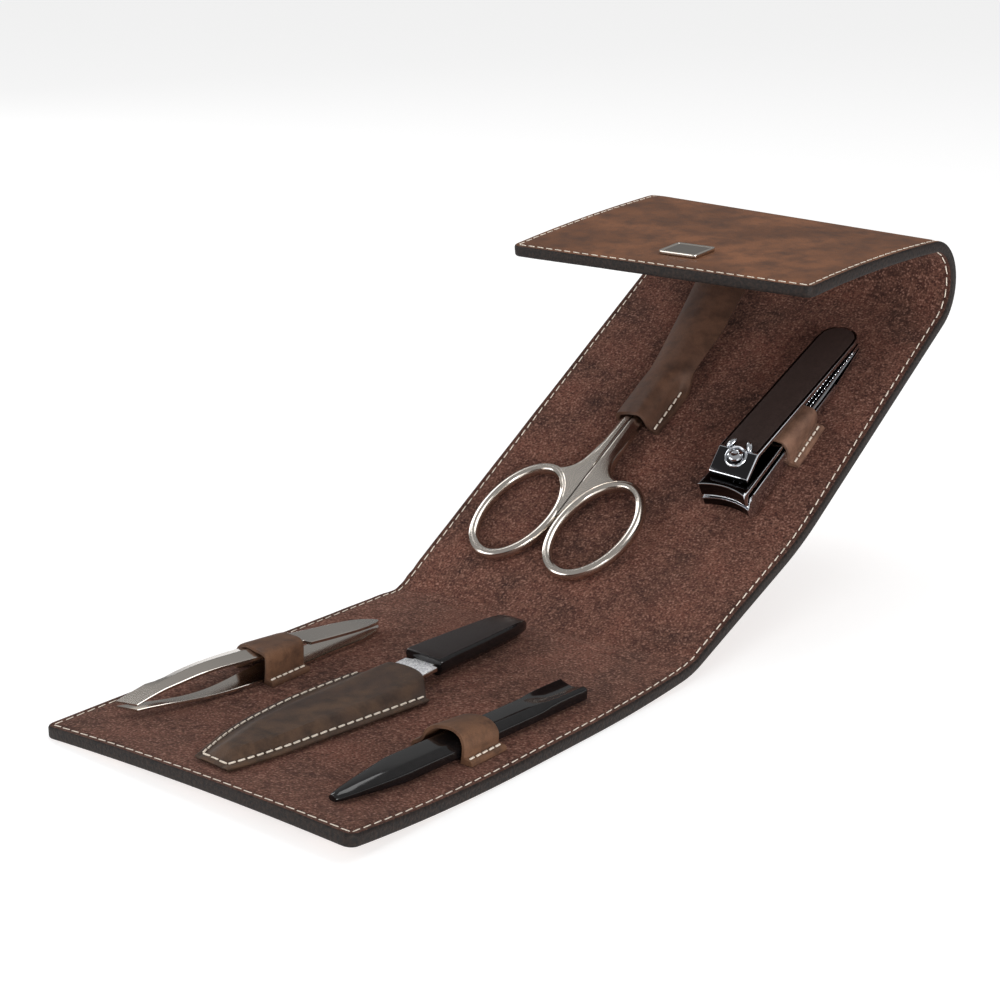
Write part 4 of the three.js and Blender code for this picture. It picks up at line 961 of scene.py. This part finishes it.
def web_row(t, columns, cx, cy):
    """Points across the web: t runs from the ring at 0 to the neck at 1 and the shank's end at 2."""
    half_wide, half_long = ring_width / 2, ring_length / 2
    s = min(t, 1.0)
    row = []
    for k in columns:
        angle = math.radians(mix(180, web_leave, k))
        reach = 0.75 * smooth(k / 0.15)
        start = Vector((cx + math.cos(angle) * (half_wide - reach),
            cy + math.sin(angle) * (half_long - reach)))
        end = Vector((mix(web_near, web_far, k), neck_end))
        last = math.radians(web_leave)
        a = Vector((cx + math.cos(last) * half_wide, cy + math.sin(last) * half_long))
        b, c = Vector((web_far + 0.3, ring_length + 0.2)), Vector((web_far, neck_end))
        bulge = a * (1 - s) ** 2 + b * 2 * s * (1 - s) + c * s * s - a.lerp(c, s)
        point = start.lerp(end, s) + bulge * k ** 1.3
        if t > 1:
            point.y = mix(neck_end, shank_end, t - 1)
            point.x -= 0.55 * k * (t - 1)
        row.append(point)
    return row


def scissors_half(name, node, side, body):
    """A forged half: an oval finger ring, a web and shank flush with its top, and the ground blade."""
    cx, cy = (2 * half_gap + ring_width) / 2, ring_length / 2
    bm = bmesh.new()
    finger_ring(bm, cx, cy)
    columns = [0, 0.02, 0.05, *[k / 14 for k in range(1, 13)], 0.9, 0.93, 0.96, 0.985, 1]
    sections = []
    for t in [0, 0.12, 0.25, 0.38, 0.5, 0.62, 0.73, 0.83, 0.92, 1.0, 1.15, 1.4, 1.7, 2.0]:
        row = web_row(t, columns, cx, cy)
        top, low = [], []
        for point in row:
            inner, outer = (point - row[0]).length, (point - row[-1]).length
            soft = 0.25 * max(0, 1 - inner / 0.25) ** 2
            ease = 0.75 - math.sqrt(max(0, 0.75 ** 2 - max(0, 0.75 - outer) ** 2))
            bevelled = 0.62 * max(0, 1.5 - outer)
            drop = mix(ease, bevelled, smooth((t - 0.8) / 0.5))
            top.append(Vector((*point, wire_height - 0.01 - soft - drop)))
            low.append(Vector((*point, 0.05 + min(soft + ease, 0.5))))
        sections.append(top + low[::-1])
    loft(sections, bm)
    low = 0 if side < 0 else 0.9
    high = low + 0.85
    rings = []
    for x0, x1, y in ((web_near, web_far - 0.6, 51), (-2.2, 2.8, 57.5), (-2.6, 3.0, pivot_at),
            (-2.6, 3.0, 63), (-0.3, 0.7, 94)):
        rings.append([Vector((x0, y, low)), Vector((x1, y, low)), Vector((x1, y, high - 0.3)),
            Vector((x1 - 0.6, y, high)), Vector((x0, y, high))])
    loft(rings, bm)
    bmesh.ops.scale(bm, vec=(side, 1, 1), verts=bm.verts)
    made(name, bm, [nickel], body, (node,), scissors_place, 24)


def turned(name, node, profile, along, body, metal, place):
    """A turned part: its half outline of (radius, height), spun round."""
    bm = bmesh.new()
    verts = [bm.verts.new((radius, 0, height)) for radius, height in profile]
    spun(bm, verts, [bm.edges.new(pair) for pair in zip(verts, verts[1:])], 40)
    bmesh.ops.remove_doubles(bm, verts=bm.verts, dist=0.001)
    bmesh.ops.recalc_face_normals(bm, faces=bm.faces)
    bmesh.ops.translate(bm, vec=(0, along, 0), verts=bm.verts)
    made(name, bm, [metal], body, (node,), place, 30)


scissors_half("scissors_half_left", "scissors_left_half", -1, "scissors")
scissors_half("scissors_half_right", "scissors_right_half", 1, "scissors_right")
turned("scissors_pivot_screw", "scissors_screw",
    [(0, 0.15), (1.3, 0.15), (1.3, 2.95), (2.4, 2.95), (2.5, 3.02), (2.45, 3.2), (2.1, 3.3), (0, 3.3)],
    pivot_at, "scissors", nickel, scissors_place)
scissors_holster()

# Clipper: its half width at places from its cutting end, then its leaves and its lever
CLIPPER_SIDE = ((0, 6.5), (9, 6.4), (20, 5.9), (36, 5.85), (49, 5.75), (57, 5.5), (61.5, 4.7))
clipper_length = 61.5
clipper_place = lie_on((clipper_across + 0.15, clipper_start + 0.9, seat_gap),
    (clipper_across + 0.65, clipper_start + 62.4, seat_gap))
leaf = 1.3
post_at = 9
rivet_at = 57
lever_rear = 64.2
brow_y, brow_z = 10.6, 13.0
toe_y, toe_z = 4.1, 9.4
toe_top = toe_z + 1.25
brow_rise = brow_z - toe_z - 1.25
tail_slope = (13.0 - 5.0) / (lever_rear - brow_y)
post_seat = toe_top + (post_at - toe_y) * brow_rise / (brow_y - toe_y)


def leaf_low(y):
    """The underside of the sprung upper leaf."""
    return 1.6 + 6.3 * (1 - y / clipper_length)


def wall_top(y):
    """The top of the lower jaw's side walls, which stay clear of the upper leaf."""
    return max(leaf, leaf_low(y) - (1 - y / rivet_at) - seat_gap)


def give_painted_reflection(bm, area):
    """Gives the broad faces the dark chrome whose base colour paints in the reflection of a dark room."""
    for face in bm.faces:
        if face.calc_area() > area and abs(face.normal.x) < 0.7:
            face.material_index = 1


def profile_block(outline, x0, x1, steps, bm=None):
    """A side outline of (y, z), carried across from x0 to x1."""
    return loft([[Vector((mix(x0, x1, k / steps), y, z)) for y, z in outline] for k in range(steps + 1)], bm)


def clipper_jaw(name, node, body, outline, rounding, wall=None):
    """A stamped leaf: a side outline, tapered to the clipper's plan and hollowed at its cutting end."""
    half = clipper_half_width
    wall_thickness = 1.1
    bm = profile_block(outline, -half, half, 14)
    if wall:
        for x in (-half, half - wall_thickness):
            profile_block(wall, x, x + wall_thickness, 1, bm)
    for vert in bm.verts:
        x, y, z = vert.co
        hollow = 1.3 * (1 - (x / half) ** 2) * clamp(1 - y / 5)
        vert.co = (x * run_at(CLIPPER_SIDE, y) / half, y + hollow, z)
    round_off(bm, rounding, 40)
    # Broad faces take the chrome with a painted dark reflection
    give_painted_reflection(bm, 0.7)
    made(name, bm, [chrome, painted_reflection_chrome], body, (node,), clipper_place, 28)


def lever_half_width(y, inset):
    """The lever's half width: parallel sides and a rounded rear end."""
    half = 5.4 - inset
    reach = (lever_rear - inset - y) / (half * 0.95)
    return half * math.sqrt(max(0.0, 1 - (1 - clamp(reach)) ** 2))


def lever_cup():
    """The cupped seat that holds the post's head, between two raised petals."""
    bm = bmesh.new()
    verts = [bm.verts.new((x, 0, z)) for x, z in
        ((2.2, -0.5), (2.3, 0.12), (2.55, 0.3), (2.85, 0.2), (3.1, -0.2), (3.1, -0.5))]
    spun(bm, verts, [bm.edges.new(pair) for pair in zip(verts, verts[1:] + verts[:1])], 40)
    for side in (-1, 1):
        petal = (Matrix.Translation((side * 2.5, 3.1, 0.1)) @ Matrix.Rotation(side * 0.5, 4, "Z")
            @ Matrix.Diagonal((0.7, 1.5, 0.45, 1)))
        bmesh.ops.create_uvsphere(bm, u_segments=16, v_segments=10, radius=1, matrix=petal)
    slope = math.atan2(brow_rise, brow_y - toe_y)
    seat = Matrix.Translation((0, post_at, post_seat)) @ Matrix.Rotation(slope, 4, "X")
    made("clipper_lever_cup", bm, [chrome], "clipper_lever", (), clipper_place @ seat, 40)


def clipper_lever():
    """The stamped lever: a bright frame with a brow, and a flat inlay."""
    def sharp_or_rear(edge):
        angle = edge.calc_face_angle(0)
        return angle > 0.7 or angle > 0.25 and min(vert.co.y for vert in edge.verts) > 10

    sections = []
    for y in [toe_y, 6, 7.5, 9, 10.6, 11.2, 14, 24, 34, 44, 54, 58, 60.5, 62, 63.2, 63.9, 64.15]:
        if y < brow_y:
            share = (y - toe_y) / (brow_y - toe_y)
            top = mix(toe_top, brow_z, share)
            low = mix(toe_z, brow_z - 1.5, share)
        else:
            top = brow_z - tail_slope * (y - brow_y)
            low = top - 1.27
        w = max(0.5, lever_half_width(y, 0))
        sections.append([Vector((x, y, z)) for x, z in
            [(-w, low), (w, low), (w, top), (w * 0.5, top), (0, top), (-w * 0.5, top), (-w, top)]])
    bm = loft(sections)
    round_off(bm, 0.3, 15, sharp_or_rear)
    # Broad faces take the chrome with a painted dark reflection
    give_painted_reflection(bm, 1.2)
    made("clipper_lever_stamped", bm, [chrome, painted_reflection_chrome], "clipper_lever", ("clipper_lever",),
        clipper_place, 26)
    sections = []
    for y in [11.3, 11.6, 14, 24, 34, 44, 54, 58, 60.5, 62, 63, 63.4]:
        top = brow_z - tail_slope * (y - brow_y) + 0.12
        w = max(0.4, lever_half_width(y, 0.75))
        front = 0.9 if y == 11.3 else 0
        sections.append([Vector((x, y + front * (1 - abs(x) / w), z)) for x, z in
            [(-w, top - 0.5), (w, top - 0.5), (w, top), (0, top), (-w, top)]])
    bm = loft(sections)
    round_off(bm, 0.1, 40)
    made("clipper_inlay_panel", bm, [inlay_brown], "clipper_lever", ("clipper_lever_inlay",),
        clipper_place, 26)


def file_strip():
    """The little nail file stamped in the upper leaf: a grid of raised teeth."""
    bm = bmesh.new()
    for column in range(9):
        for row in range(16):
            x, y = (column - 4) * 1.2, 35.6 + row * 1.45
            block(bm, (x, y, leaf_low(y) + leaf - 0.05), (0.8, 0.95, 0.5))
    bevel(bm, bm.edges[:], 0.1)
    made("clipper_file_teeth", bm, [chrome], "clipper_jaw", (), clipper_place, 30)


clipper_jaw("clipper_jaw_above", "clipper_upper_jaw", "clipper_jaw",
    [(0, 5.5), (0.8, 5.5), *[(y, leaf_low(y)) for y in (2, 20, 40)], (61.5, 1.6), (61.5, 2.9),
        *[(y, leaf_low(y) + leaf) for y in (40, 20)], (3, leaf_low(3) + leaf + 0.1),
        (0, leaf_low(2) + leaf + 0.6)], 0.25)
clipper_jaw("clipper_jaw_below", "clipper_lower_jaw", "clipper",
    [(0, 4.5), (0.8, 4.5), (2, wall_top(2)), (4, wall_top(4)), (4, leaf), (24, leaf), (61.5, leaf),
        (61.5, 0), (24, 0), (2, 0), (0, 2)], 0.22,
    [(3.9, 0.4), (46, 0.4), (48.1, leaf), *[(y, wall_top(y)) for y in (46.1, 24, 3.9)]])
lever_cup()
clipper_lever()
turned("clipper_post_turned", "clipper_post",
    [(0, 0.3), (1.5, 0.3), (1.5, 1.45), (2.5, 1.45), (2.5, 2.25), (1.5, 2.25), (1.5, post_seat),
        *[(radius, post_seat + rise) for radius, rise in ((1.9, 0.02), (2.0, 0.3), (1.9, 0.75), (1.5, 1.02),
            (1.0, 1.1), (0.8, 0.95), (0, 0.85))]],
    post_at, "clipper_pin", chrome, clipper_place)
turned("clipper_rivet_turned", "clipper_rivet",
    [(0, 0.3), (1.4, 0.3), *[(radius, leaf_low(rivet_at) + rise) for radius, rise in
        ((1.4, 1.0), (1.2, 1.14), (0, 1.16))]],
    rivet_at, "clipper", chrome, clipper_place)
file_strip()


def badge():
    """A bare metal plate on the flap: darkened nickel with a polished rim."""
    width, half_depth, thickness = 11.4, 4.6, 0.8
    along = strip_end - 8.6 - half_depth
    across = case_width / 2 + 1.2
    place = lie_on((across, along - half_depth, 0), (across, along + half_depth, 0))
    bm = bmesh.new()
    block(bm, (0, half_depth, -stack - glue_line - thickness / 2), (width, half_depth * 2, thickness))
    bevel(bm, [e for e in bm.edges if abs(e.verts[0].co.z - e.verts[1].co.z) > 0.5], 1.0, 4)
    face = min(bm.faces, key=lambda f: f.calc_center_median().z)
    bmesh.ops.inset_individual(bm, faces=[face], thickness=0.7, depth=0)
    bmesh.ops.inset_individual(bm, faces=[face], thickness=0.25, depth=-0.16)
    face.material_index = 1
    round_off(bm, 0.12, 60)
    made("badge_plate_bare", bm, [nickel, antique], "flap", ("badge_plate",), place, 30)


badge()


# Stage, light and camera

def put_in_scene(name, data):
    thing = bpy.data.objects.new(name, data)
    bpy.context.scene.collection.objects.link(thing)
    return thing


def softbox(name, place, size, power):
    """A rectangular light, aimed at the case."""
    light = bpy.data.lights.new(name, "AREA")
    light.shape = "RECTANGLE"
    light.size, light.size_y = size
    light.energy = power
    lamp = put_in_scene(name, light)
    lamp.location = place
    lamp.rotation_euler = (Vector((0, 0.04, 0.03)) - Vector(place)).to_track_quat("-Z", "Y").to_euler()


def studio():
    """White paper, four softboxes and a pale room that dims towards the horizon behind the object."""
    bm = bmesh.new()
    bmesh.ops.create_grid(bm, x_segments=1, y_segments=1, size=6)
    mesh = bpy.data.meshes.new("floor")
    bm.to_mesh(mesh)
    bm.free()
    mesh.materials.append(floor_paper())
    floor = put_in_scene("floor", mesh)
    softbox("key_softbox", (-0.8, -0.95, 0.45), (0.8, 0.8), 6.8)
    softbox("top_softbox", (0.15, 0.35, 1.15), (0.8, 0.5), 3.4)
    softbox("side_strip", (-1.0, 0.25, 0.55), (0.2, 0.9), 2.2)
    softbox("fill_softbox", (1.0, -0.5, 0.2), (0.7, 0.36), 9)

    world = bpy.data.worlds.new("studio_room")
    bpy.context.scene.world = world
    world.use_nodes = True
    tree = world.node_tree
    heading = add(tree, "TexCoord", {}, "Generated")
    rise = add(tree, "SeparateXYZ", {0: heading}, 2)
    upper = add(tree, "MapRange", {0: rise, 1: 0.05, 2: 0.6})
    front = add(tree, "VectorMath", {0: heading, 1: (0.3, -0.95, 0)}, 1, operation="DOT_PRODUCT")
    wall = add(tree, "MapRange", {0: front, 1: -0.2, 2: 0.5, 3: 0.2, 4: 0.5})
    level = add(tree, "Mix", {0: upper, 2: wall, 3: 0.38}, data_type="FLOAT")
    fill(tree, tree.nodes["Background"], {"Strength": level, "Color": linear("#ffffff")})


def camera():
    """The photo's view: its bearing and height in radians, and its place in metres along its own axes."""
    azimuth, elevation = 0.687194337, 0.302848238
    rightward, upward, backward = 0.0620173, 0.0589761, 0.3939053
    focal_length, picture_width, sensor_width = 1984.64, 1000, 36
    back = Vector((math.sin(azimuth) * math.cos(elevation), -math.cos(azimuth) * math.cos(elevation),
        math.sin(elevation)))
    right = Vector((math.cos(azimuth), math.sin(azimuth), 0))
    up = back.cross(right)
    lens = bpy.data.cameras.new("portrait")
    lens.sensor_width = sensor_width
    lens.lens = focal_length / picture_width * sensor_width
    lens.clip_start, lens.clip_end = 0.01, 20
    eye = put_in_scene("portrait", lens)
    place = right * rightward + up * upward + back * backward - Vector((0, origin_along * MM, 0))
    eye.matrix_world = Matrix.Translation(place) @ Matrix((right, up, back)).transposed().to_4x4()
    bpy.context.scene.camera = eye


studio()
camera()
bpy.context.scene.view_settings.view_transform = "Standard"
